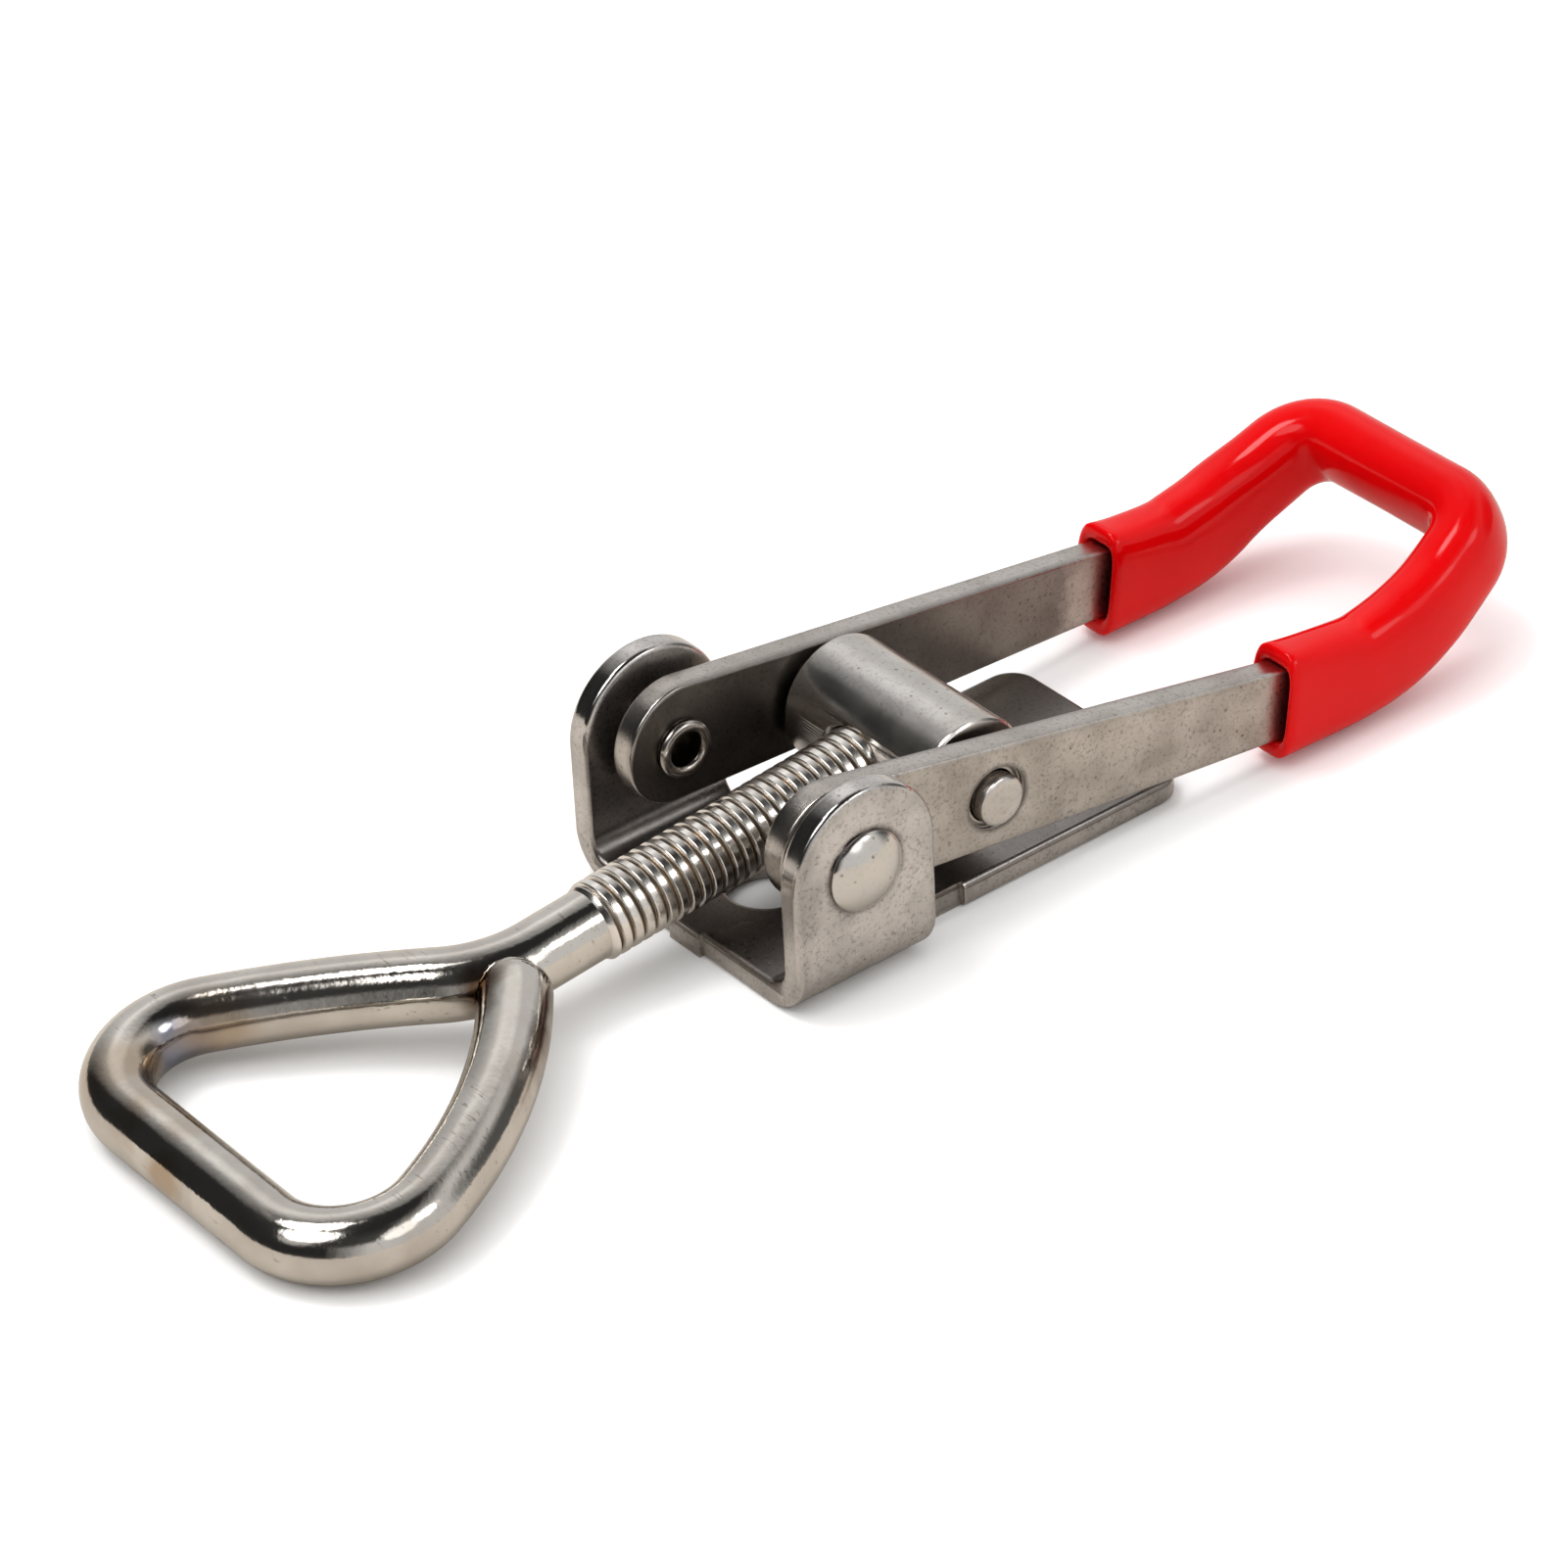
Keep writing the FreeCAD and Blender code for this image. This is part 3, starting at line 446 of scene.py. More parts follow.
# depth is 0 at the roots of the thread and 1 at its crests
def threadSteel(name):
    look = threadLook
    material, net = newMaterial(name)
    place = net.place()
    depth = net.attribute("depth")
    cloud = net.noise(place, look["cloudScale"], 4.0, 0.6)
    root = net.ramp(depth, look["rootFrom"], look["rootTo"])
    colour = net.mix(
        net.ramp(cloud, look["cloudFrom"], look["cloudTo"]), tones["polished"], tones["thread"])
    stained = net.mix(
        net.ramp(cloud, look["stainFrom"], look["stainTo"]), tones["groove"], tones["tan"])
    colour = net.mix(net.math("MULTIPLY", root, look["rootDark"]), colour, stained)
    rough = net.ramp(cloud, 0.3, 0.7, look["dull"], look["bright"])
    rough = net.math("ADD", rough, net.math("MULTIPLY", root, look["rootRough"]))
    fine = net.noise(place, look["fineScale"], 3.0, 0.6)
    surface(net, colour, rough, fine, look["bump"], look["reach"], Metallic=1.0)
    return material


vinylLook = {
    "cloudScale": 110.0, "fineScale": 1500.0, "specular": 0.20, "dull": 0.12, "bright": 0.07,
    "speckScale": 420.0, "speckFrom": 0.90, "speckTo": 0.91, "speckOuter": 0.07,
    "speckInner": 0.03, "speckTone": 0.6, "speckHigh": 0.5, "waves": 1.8, "fine": 0.10,
    "bump": 0.15, "reach": 0.0001,
}


# inside is 1 deep in the sleeve's mouths and 0 outside; it paints shade in the mouths
def redVinyl(name):
    look = vinylLook
    material, net = newMaterial(name)
    place = net.place()
    cloud = net.noise(place, look["cloudScale"], 3.0, 0.5)
    fine = net.noise(place, look["fineScale"], 2.0, 0.5)
    inside = net.attribute("inside")
    cell = net.cells(place, look["speckScale"])
    rare = net.ramp(cell["Color"], look["speckFrom"], look["speckTo"])
    dot = net.ramp(cell["Distance"], look["speckOuter"], look["speckInner"])
    speck = net.math("MULTIPLY", rare, dot)
    colour = net.mix(net.ramp(cloud, 0.3, 0.7), tones["redDeep"], tones["red"])
    colour = net.tint(colour, speck, look["speckTone"], "redSpeck")
    # painted shade deep in the mouths
    colour = net.mix(inside, colour, tones["redPaintedShade"])
    rough = net.ramp(fine, 0.3, 0.7, look["dull"], look["bright"])
    waves = net.math("MULTIPLY", cloud, look["waves"])
    height = net.math("ADD", waves, net.math("MULTIPLY", fine, look["fine"]))
    height = net.math("ADD", height, net.math("MULTIPLY", speck, look["speckHigh"]))
    surface(
        net, colour, rough, height, look["bump"], look["reach"],
        Specular_IOR_Level=look["specular"])
    return material


# the paper is white to the eye, and duller where metal reflects it
def paperWhite(name):
    material, net = newMaterial(name)
    glossy = net.node("ShaderNodeLightPath").outputs["Is Glossy Ray"]
    cloud = net.noise(net.place(), 9.0, 2.0, 0.5)
    dull = net.mix(cloud, tones["paperDim"], tones["paperTan"])
    colour = net.mix(glossy, tones["paper"], dull)
    surface(net, colour, 0.8, Specular_IOR_Level=0.0)
    return material


def addPiece(name, mesh, material, body, node):
    mesh.materials.append(material)
    piece = bpy.data.objects.new(name, mesh)
    bpy.context.scene.collection.objects.link(piece)
    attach(piece, body)
    if node:
        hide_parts(node)


def toPart(shape, place):
    bmesh.ops.transform(shape, matrix=Matrix.Scale(mm, 4) @ place, verts=shape.verts)


def smoothMesh(shape, name, angle):
    mesh = bpy.data.meshes.new(name)
    bmesh.ops.recalc_face_normals(shape, faces=shape.faces)
    shape.to_mesh(mesh)
    shape.free()
    for polygon in mesh.polygons:
        polygon.use_smooth = True
    mesh.set_sharp_from_angle(angle=math.radians(angle))
    return mesh


def everything(shape):
    return [*shape.verts, *shape.edges, *shape.faces]


def onlyVerts(parts):
    return [part for part in parts if isinstance(part, bmesh.types.BMVert)]


# the edges whose ends are both among the parts
def edgesAmong(parts):
    verts = set(onlyVerts(parts))
    edges = [part for part in parts if isinstance(part, bmesh.types.BMEdge)]
    return [edge for edge in edges if verts.issuperset(edge.verts)]


def closeEnds(shape):
    rims = [edge for edge in shape.edges if edge.is_boundary]
    bmesh.ops.holes_fill(shape, edges=rims, sides=0)


# a circle drawn out ring by ring, each ring moved to its places
def drawOut(shape, rings):
    loops = [bmesh.ops.create_circle(shape, segments=len(rings[0]), radius=1.0)["verts"]]
    edges = list(shape.edges)
    for _ in rings[1:]:
        grown = bmesh.ops.extrude_edge_only(shape, edges=edges)["geom"]
        fresh = set(onlyVerts(grown))
        edges = edgesAmong(grown)
        loop = []
        for vertex in loops[-1]:
            ends = [edge.other_vert(vertex) for edge in vertex.link_edges]
            loop.append(next(end for end in ends if end in fresh))
        loops.append(loop)
    for loop, ring in zip(loops, rings):
        for vertex, point in zip(loop, ring):
            vertex.co = point
    closeEnds(shape)
    return loops


# a profile of (radius, place along) turned round the Y axis of a frame
def turnedMesh(name, profile, place, steps=96, angle=25.0):
    shape = bmesh.new()
    points = [shape.verts.new((radius, along, 0.0)) for radius, along in profile]
    line = [shape.edges.new(pair) for pair in zip(points, points[1:])]
    bmesh.ops.spin(
        shape, geom=points + line, cent=(0, 0, 0), axis=(0, 1, 0), angle=math.tau, steps=steps,
        use_merge=True)
    bmesh.ops.remove_doubles(shape, verts=shape.verts, dist=0.0005)
    toPart(shape, place)
    return smoothMesh(shape, name, angle)


# one mesh less another, without the slivers that the cut leaves
def carved(mesh, cutter, name, smooth=0.0):
    body, tool = bpy.data.objects.new("body", mesh), bpy.data.objects.new("tool", cutter)
    for piece in (body, tool):
        bpy.context.scene.collection.objects.link(piece)
    cut = body.modifiers.new("cut", "BOOLEAN")
    cut.operation, cut.solver, cut.object = "DIFFERENCE", "EXACT", tool
    weld = body.modifiers.new("weld", "WELD")
    weld.merge_threshold = 0.004 * mm
    if smooth:
        mesh.set_sharp_from_angle(angle=math.radians(smooth))
        even = body.modifiers.new("even", "WEIGHTED_NORMAL")
        even.keep_sharp, even.weight = True, 100
    result = bpy.data.meshes.new_from_object(
        body.evaluated_get(bpy.context.evaluated_depsgraph_get()))
    result.name = name
    for piece in (body, tool):
        bpy.data.objects.remove(piece)
    for used in (mesh, cutter):
        bpy.data.meshes.remove(used)
    return result


# path in a plane: steps of (length, turn) from a start and heading, in millimetres and degrees
def tracePath(start, heading, steps, spacing=0.35):
    x, y = start
    points = [(x, y, heading)]
    for length, turn in steps:
        count = max(2, math.ceil(abs(length) / spacing))
        for _ in range(count):
            middle = math.radians(heading + turn / count / 2)
            chord = length / count
            x += math.cos(middle) * chord
            y += math.sin(middle) * chord
            heading += turn / count
            points.append((x, y, heading))
    return points


def arc(radius, turn):
    return (radius * math.radians(abs(turn)), turn)


# frames of the drawing planes: X along, Y across, and the normal
def planeFrame(x, z, tilt):
    a = math.radians(tilt)
    return Matrix((
        (math.cos(a), 0.0, -math.sin(a), x),
        (0.0, 1.0, 0.0, 0.0),
        (math.sin(a), 0.0, math.cos(a), z),
        (0.0, 0.0, 0.0, 1.0),
    ))


# places of the pivot and the cross pin, in millimetres and degrees
pivotPlace = {"x": -13.0, "z": 10.4, "tilt": 7.4}
pinPlace = {"reach": 14.1, "tilt": 5.438}
handleFrame = planeFrame(pivotPlace["x"], pivotPlace["z"], -pivotPlace["tilt"])
pinCentre = handleFrame @ Vector((pinPlace["reach"], 0.0, 0.0))
rodFrame = planeFrame(pinCentre.x, pinCentre.z, pinPlace["tilt"])

# the hook in millimetres and degrees, from the neck round by the far leg to the free end
hookSizes = {
    "wire": 2.65, "neckReach": 33.1, "neckBend": 10.0, "neckTurn": 41.3,
    "farBow": 10.8, "farRound": 87.0, "farCorner": 6.4, "front": 15.8,
    "nearCorner": 6.5, "nearTurn": 111.4, "nearBow": 29.9, "nearRound": 38.8,
    "tip": 3.6, "tipRound": 2.1, "tipSteps": 9, "tipTurn": 9.4, "gap": 0.22, "pressed": 9.0,
    "sides": 48, "runStep": 0.6, "bendStep": 0.45, "smooth": 80.0,
}
threadSizes = {
    "crest": 2.95, "root": 2.54, "pitch": 1.0, "fore": -28.5, "aft": 4.3,
    "startFade": 0.1, "fade": 0.9, "rise": 0.35, "point": 0.55, "uneven": 0.008,
    "sides": 60, "spare": 2, "smooth": 26.0,
}
# half of one groove: shares of the pitch and of the depth
grooveCut = [
    (0.0, 0.0), (0.24, 0.0), (0.29, 0.07), (0.34, 0.28), (0.39, 0.62), (0.43, 0.92), (0.47, 1.0)]


def headed(angle):
    return Vector((math.cos(angle), math.sin(angle), 0))


# rounds the rod's free end in small steps, and gives its place
def roundTip(shape, rim, place, heading):
    wire, tipRound, ahead = hookSizes["wire"], hookSizes["tipRound"], headed(heading)
    last, size = 0.0, wire
    for step in range(1, hookSizes["tipSteps"] + 1):
        a = math.radians(hookSizes["tipTurn"] * step)
        grown = bmesh.ops.extrude_edge_only(shape, edges=rim)["geom"]
        rim = edgesAmong(grown)
        move = ahead * ((math.sin(a) - last) * tipRound)
        place += move
        bmesh.ops.translate(shape, verts=onlyVerts(grown), vec=move)
        ratio = (wire - tipRound * (1 - math.cos(a))) / size
        bmesh.ops.scale(
            shape, verts=onlyVerts(grown), vec=(ratio, ratio, ratio),
            space=Matrix.Translation(-place))
        last, size = math.sin(a), size * ratio
    closeEnds(shape)
    return place


# the rod is drawn straight and turned round each bend, in its own plane
def makeHook():
    sizes, fore = hookSizes, threadSizes["fore"]
    plain = sizes["neckReach"] + fore
    farTurn = sizes["neckTurn"] - sizes["farBow"] + 90.0
    steps = [
        ("run", plain, 0.0), ("bend", sizes["neckBend"], -sizes["neckTurn"]),
        ("bend", sizes["farRound"], sizes["farBow"]), ("bend", sizes["farCorner"], farTurn),
        ("run", sizes["front"], 0.0), ("bend", sizes["nearCorner"], sizes["nearTurn"]),
        ("bend", sizes["nearRound"], sizes["nearBow"]),
        ("run", sizes["tip"] - sizes["tipRound"], 0.0),
    ]
    shape = bmesh.new()
    bmesh.ops.create_circle(
        shape, segments=sizes["sides"], radius=sizes["wire"],
        matrix=Matrix.Translation((fore, 0, 0)) @ Matrix.Rotation(math.pi / 2, 4, "Y"))
    rim = list(shape.edges)
    place, heading = Vector((fore, 0, 0)), math.pi
    nearLeg = 0
    for kind, size, turn in steps:
        ahead = headed(heading)
        if size == sizes["nearRound"]:
            nearLeg = len(shape.verts)
        if kind == "run":
            count = math.ceil(size / sizes["runStep"])
            for _ in range(count):
                grown = bmesh.ops.extrude_edge_only(shape, edges=rim)["geom"]
                rim = edgesAmong(grown)
                bmesh.ops.translate(shape, verts=onlyVerts(grown), vec=ahead * (size / count))
            place += ahead * size
            continue
        left = Vector((-ahead.y, ahead.x, 0)) * math.copysign(size, turn)
        angle = math.radians(turn)
        count = max(6, math.ceil(size * abs(angle) / sizes["bendStep"]))
        grown = bmesh.ops.spin(
            shape, geom=rim, cent=place + left, axis=(0, 0, 1), angle=angle, steps=count,
            use_merge=False)["geom_last"]
        rim = edgesAmong(grown)
        place = place + left - Matrix.Rotation(angle, 3, "Z") @ left
        heading += angle
    place = roundTip(shape, rim, place, heading)

    # the free end is pressed flat where it lies against the neck
    neck = tracePath(
        (fore, 0.0), 180.0, [(plain, 0.0), arc(sizes["neckBend"], -sizes["neckTurn"])])
    neck = [Vector((x, y, 0)) for x, y, _ in neck]
    limit = sizes["wire"] + sizes["gap"]
    shape.verts.ensure_lookup_table()
    for vertex in shape.verts[nearLeg:]:
        if (vertex.co - place).length > sizes["pressed"]:
            continue
        closest = min(neck, key=lambda point: (point - vertex.co).length_squared)
        away = vertex.co - closest
        if away.length < limit:
            vertex.co = closest + away.normalized() * limit
    toPart(shape, rodFrame)
    return smoothMesh(shape, "hookRod", sizes["smooth"])


# one turn of the thread, turned and moved along as a screw is cut
def makeThread():
    sizes, wire = threadSizes, hookSizes["wire"]
    fore, aft, crest, root = sizes["fore"], sizes["aft"], sizes["crest"], sizes["root"]
    pitch, sides, spare = sizes["pitch"], sizes["sides"], sizes["spare"]
    turns = math.ceil((aft - fore) / pitch) + spare
    deep = crest - root
    shape = bmesh.new()
    line = [(along, crest - deep * cut) for along, cut in grooveCut]
    line += [(1.0 - along, radius) for along, radius in reversed(line)]
    points = [
        shape.verts.new((fore - pitch * (spare - along), 0.0, radius)) for along, radius in line]
    edges = [shape.edges.new(pair) for pair in zip(points, points[1:])]
    bmesh.ops.spin(
        shape, geom=points + edges, cent=(0, 0, 0), axis=(1, 0, 0), angle=math.tau,
        dvec=(pitch / sides, 0, 0), steps=sides, use_merge=False)
    turn = everything(shape)
    for count in range(1, turns + 1):
        made = bmesh.ops.duplicate(shape, geom=turn)["geom"]
        bmesh.ops.translate(shape, verts=onlyVerts(made), vec=(pitch * count, 0, 0))
    bmesh.ops.remove_doubles(shape, verts=shape.verts, dist=0.01)
    for level, side in ((fore, -1), (aft, 1)):
        bmesh.ops.bisect_plane(
            shape, geom=everything(shape), plane_co=(level, 0, 0), plane_no=(side, 0, 0),
            clear_outer=True)
    bmesh.ops.remove_doubles(shape, verts=shape.verts, dist=0.004)
    layer = shape.verts.layers.float.new("depth")
    for vertex in shape.verts:
        x, y, z = vertex.co
        radius = math.hypot(y, z)
        cut = (radius - root) / deep
        fade = min(1.0, max(0.0, (x - fore + sizes["startFade"]) / sizes["fade"]))
        top = wire + (crest - wire) * min(1.0, max(0.0, (x - fore) / sizes["rise"]))
        wanted = top - deep * (1.0 - cut) * fade
        wanted = min(wanted, crest - sizes["point"] + max(0.0, aft - x))
        wanted += sizes["uneven"] * noise.noise(Vector((x * 3.0, y * 0.7, z * 0.7)))
        vertex.co = (x, y / radius * wanted, z / radius * wanted)
        vertex[layer] = 1.0 - (1.0 - cut) * fade
    closeEnds(shape)
    toPart(shape, rodFrame)
    return smoothMesh(shape, "hookThread", sizes["smooth"])


addPiece("hookRod", makeHook(), hookSteel("hookSteel"), "hook", "hook_rod")
addPiece("hookThread", makeThread(), threadSteel("threadSteel"), "hook", None)
print("stage: hook and thread")


# the sleeve in millimetres and degrees; a section's power is 2 for an oval and more for a bar
gripSizes = {
    "aft": 10.6, "mouthNear": 40.0, "mouthFar": 41.6,
    "kinkReach": 50.6, "kink": 35.0, "kinkRound": 12.0, "kinkShare": 0.3,
    "lead": 0.3, "cross": 13.7, "corner": 4.1, "lean": 9.4, "leanRound": 20.0,
    "mouthHalf": 4.4, "mouthWide": 2.35, "half": 3.68, "wide": 2.65, "widen": 1.5, "thin": 0.30,
    "settle": 2.0, "power": 3.6, "powerKink": 1.0, "powerCross": 0.25,
    "fillNear": 0.7, "fillFar": 1.0, "fillPast": 9.0,
    "deep": 2.6, "wall": 0.75, "shut": 1.35, "lip": 0.38, "lipSteps": 9, "mouthPower": 5.0,
    "floorWide": 0.8, "floorHalf": 2.2, "sides": 56, "spacing": 0.4, "crossSpacing": 0.5,
    "uneven": 0.05, "unevenScale": 0.16, "smooth": 60.0,
}


# the sleeve's line from a mouth to the middle of the cross bar: centre, ahead, up and share
def gripStations(mouth):
    grip = gripSizes
    aft, spacing = grip["aft"], grip["spacing"]
    kink = math.radians(grip["kink"])
    tangent = grip["kinkRound"] * math.tan(kink / 2)
    start = grip["kinkReach"] - tangent
    line = tracePath(
        (mouth, 0.0), 0.0, [(start - mouth, 0.0), arc(grip["kinkRound"], grip["kink"])], spacing)
    stations = []
    for x, z, bend in line:
        a = math.radians(bend)
        stations.append((
            Vector((x, aft, z)), Vector((math.cos(a), 0, math.sin(a))),
            Vector((-math.sin(a), 0, math.cos(a))), bend / grip["kink"] * grip["kinkShare"]))
    x, z, _ = line[-1]
    ahead = Vector((math.cos(kink), 0, math.sin(kink)))
    up = Vector((-math.sin(kink), 0, math.cos(kink)))
    lean, corner = grip["lean"], grip["corner"]
    turned = math.radians(lean)
    reach = grip["cross"] - tangent - grip["lead"]
    run = reach - grip["leanRound"] * math.sin(turned) - corner * (1 - math.sin(turned))
    plan = tracePath((0.0, 0.0), 0.0, [
        (grip["lead"], 0.0), arc(grip["leanRound"], lean), (run / math.cos(turned), 0.0),
        arc(corner, 90.0 - lean)], spacing)
    left = aft - plan[-1][1]
    plan += tracePath(plan[-1][:2], 90.0, [(left, 0.0)], grip["crossSpacing"])[1:]
    total = len(plan)
    for index, (u, v, heading) in enumerate(plan[1:], start=1):
        a = math.radians(heading)
        stations.append((
            Vector((x, aft, z)) + ahead * u + Vector((0, -v, 0)),
            ahead * math.cos(a) + Vector((0, -math.sin(a), 0)), up,
            grip["kinkShare"] + (1 - grip["kinkShare"]) * index / total))
    return stations


# a section between an oval and a rounded bar
def ovalSection(wide, tall, power):
    points = []
    for i in range(gripSizes["sides"]):
        a = math.tau * i / gripSizes["sides"]
        c, d = math.cos(a), math.sin(a)
        points.append((
            math.copysign(abs(c) ** (2 / power), c) * wide,
            math.copysign(abs(d) ** (2 / power), d) * tall))
    return points


def sectionRing(station, wide, tall, power, flip, lift=0.0):
    centre, ahead, up, _ = station
    out = up.cross(ahead).normalized() * (-1.0)
    ring = []
    for side, height in ovalSection(wide, tall, power):
        point = centre + out * side + up * (height + lift)
        if flip:
            point = Vector((point.x, -point.y, point.z))
        ring.append(handleFrame @ point)
    return ring


# half width, half height and power of the sleeve along its line, and how far it is lifted
def sleeveSize(station, mouth):
    grip = gripSizes
    centre, share = station[0], station[3]
    kinkReach, kinkShare = grip["kinkReach"], grip["kinkShare"]
    along = max(0.0, min(1.0, (centre.x - mouth) / (kinkReach - mouth - grip["settle"])))
    past = max(0.0, share - kinkShare) / (1 - kinkShare)
    wide = grip["mouthWide"] + (grip["wide"] - grip["mouthWide"]) * along ** grip["widen"]
    tall = grip["mouthHalf"] + (grip["half"] - grip["mouthHalf"]) * along - grip["thin"] * past
    power = grip["power"] - grip["powerKink"] * along - grip["powerCross"] * past
    away = (centre - Vector((kinkReach, grip["aft"], 0.0))).length
    reach = kinkReach - mouth if centre.x < kinkReach else grip["fillPast"]
    fill = grip["fillFar"] if mouth == grip["mouthFar"] else grip["fillNear"]
    fill *= 0.5 + 0.5 * math.cos(math.pi * min(1.0, away / reach))
    return wide, tall + fill / 2, power, fill / 2


# rings from the bottom of the mouth's hollow, over its lip and on to the cross bar's middle
def sleeveHalf(mouth, flip):
    grip = gripSizes
    stations = gripStations(mouth)
    # shadeMarks: painted shade in the mouth's hollow, 1 at its bottom and 0 past the lip
    rings, shadeMarks = [], []
    centre, ahead, up, _ = stations[0]
    wide, tall, power, _ = sleeveSize(stations[0], mouth)

    def at(depth):
        return (centre + ahead * depth, ahead, up, 0.0)

    wall, lip, mouthPower = grip["wall"], grip["lip"], grip["mouthPower"]
    floor, ceiling = wide - wall, tall - grip["shut"]
    rings.append(sectionRing(
        at(grip["deep"]), grip["floorWide"], grip["floorHalf"], mouthPower, flip))
    shadeMarks.append(1.0)
    for depth, mark in ((grip["deep"], 1.0), (1.3, 0.9), (0.7, 0.6), (lip, 0.25)):
        rings.append(sectionRing(at(depth), floor, ceiling, mouthPower, flip))
        shadeMarks.append(mark)
    for step in range(1, grip["lipSteps"]):
        a = math.pi * step / grip["lipSteps"]
        grow = (1 - math.cos(a)) / 2
        rings.append(sectionRing(
            at(lip - math.sin(a) * lip), floor + wall * grow, ceiling + (tall - ceiling) * grow,
            mouthPower + (power - mouthPower) * grow, flip))
        shadeMarks.append(max(0.0, 0.1 - step * 0.05))
    for station in stations:
        if (station[0] - centre).length < lip:
            continue
        wide, tall, power, lift = sleeveSize(station, mouth)
        rings.append(sectionRing(station, wide, tall, power, flip, lift))
        shadeMarks.append(0.0)
    return rings, shadeMarks


def makeSleeve():
    grip = gripSizes
    nearRings, nearShade = sleeveHalf(grip["mouthNear"], True)
    farRings, farShade = sleeveHalf(grip["mouthFar"], False)
    rings = nearRings + farRings[-2::-1]
    shadeMarks = nearShade + farShade[-2::-1]
    shape = bmesh.new()
    # the painted shade of the mouths goes into the inside layer
    layer = shape.verts.layers.float.new("inside")
    for loop, mark in zip(drawOut(shape, rings), shadeMarks):
        for vertex in loop:
            vertex[layer] = mark
    for vertex in shape.verts:
        vertex.co.z += grip["uneven"] * noise.noise(vertex.co * grip["unevenScale"])
    toPart(shape, Matrix())
    return smoothMesh(shape, "gripSleeve", grip["smooth"])


addPiece("gripSleeve", makeSleeve(), redVinyl("gripVinyl"), "handle", "grip_sleeve")
print("stage: grip sleeve")


barSizes = {
    "edge": 0.28, "edgeSteps": 3, "sharp": 30.0, "spared": 3.0, "flat": 0.8,
    "pivotHole": 2.06, "pinHole": 2.07, "sink": 2.5, "sinkFrom": 9.80, "past": 16.0,
}


# a copy of a node's own shape with its sharp edges rounded off, apart from those round the holes
def softened(node, name, holes):
    shape = bmesh.new()
    shape.from_mesh(nodes[node].data)
    bmesh.ops.remove_doubles(shape, verts=shape.verts, dist=0.000002)
    bmesh.ops.dissolve_limit(
        shape, angle_limit=math.radians(barSizes["flat"]), verts=shape.verts, edges=shape.edges)
    sharp, least = [], math.radians(barSizes["sharp"])
    for edge in shape.edges:
        if len(edge.link_faces) != 2 or edge.calc_face_angle(0.0) <= least:
            continue
        middle = (edge.verts[0].co + edge.verts[1].co) / 2 / mm
        if all(math.hypot(middle.x - x, middle.z - z) >= barSizes["spared"] for x, z in holes):
            sharp.append(edge)
    bmesh.ops.bevel(
        shape, geom=sharp, offset=barSizes["edge"] * mm, segments=barSizes["edgeSteps"],
        profile=0.5, affect="EDGES", material=-1, clamp_overlap=True)
    return smoothMesh(shape, name, 40.0)


def makeBar():
    holes = [(pivotPlace["x"], pivotPlace["z"]), (pinCentre.x, pinCentre.z)]
    mesh = softened("handle_bar", "barBlank", holes)
    past, bore = barSizes["past"], barSizes["pivotHole"]
    pivot = turnedMesh(
        "pivotDrill", [(0.0, -past), (bore, -past), (bore, past), (0.0, past)], handleFrame)
    mesh = carved(mesh, pivot, "barDrilled")
    sink, hole, level = barSizes["sink"], barSizes["pinHole"], barSizes["sinkFrom"]
    pin = turnedMesh("pinDrill", [
        (0.0, -past), (sink, -past), (sink, -level), (hole, -level), (hole, level), (sink, level),
        (sink, past), (0.0, past)], rodFrame)
    return carved(mesh, pin, "handleBar", 40.0)


pinSizes = {
    "radius": 4.9, "half": 7.6, "stub": 1.95, "end": 11.103, "steps": 128,
    "tap": 3.0, "mouth": 3.4, "sink": 0.5, "chamfer": 0.35, "past": 7.0,
}


# the cross pin: barrel, stubs with a centre mark, and the tapped hole
def makeCrossPin():
    big, half, stub, end = (pinSizes[key] for key in ("radius", "half", "stub", "end"))
    side = [
        (0.0, end - 0.07), (0.20, end - 0.06), (0.36, end - 0.01), (0.50, end), (0.82, end),
        (0.90, end - 0.02), (0.98, end), (stub - 0.36, end), (stub - 0.18, end - 0.06),
        (stub - 0.05, end - 0.18), (stub, end - 0.36), (stub, half), (big - 0.42, half),
        (big - 0.20, half - 0.06), (big - 0.06, half - 0.20), (big, half - 0.42)]
    profile = side + [(radius, -along) for radius, along in reversed(side)]
    mesh = turnedMesh("pinBlank", profile, rodFrame, pinSizes["steps"])
    past, tap, mouth = pinSizes["past"], pinSizes["tap"], pinSizes["mouth"]
    sink, chamfer = big - pinSizes["sink"], pinSizes["chamfer"]
    drill = turnedMesh("tapDrill", [
        (0.0, -past), (mouth, -past), (mouth, -sink), (tap, chamfer - sink),
        (tap, sink - chamfer), (mouth, sink), (mouth, past), (0.0, past)],
        rodFrame @ Matrix.Rotation(-math.pi / 2, 4, "Z"))
    return carved(mesh, drill, "crossPin", 25.0)


rivetSizes = {
    "head": 3.1, "high": 1.4, "edge": 0.25, "domeSteps": 12, "ear": 12.9, "shank": 1.95,
    "flare": 2.25, "start": 7.4, "end": 6.8, "bore": 1.35, "deep": 9.4,
}


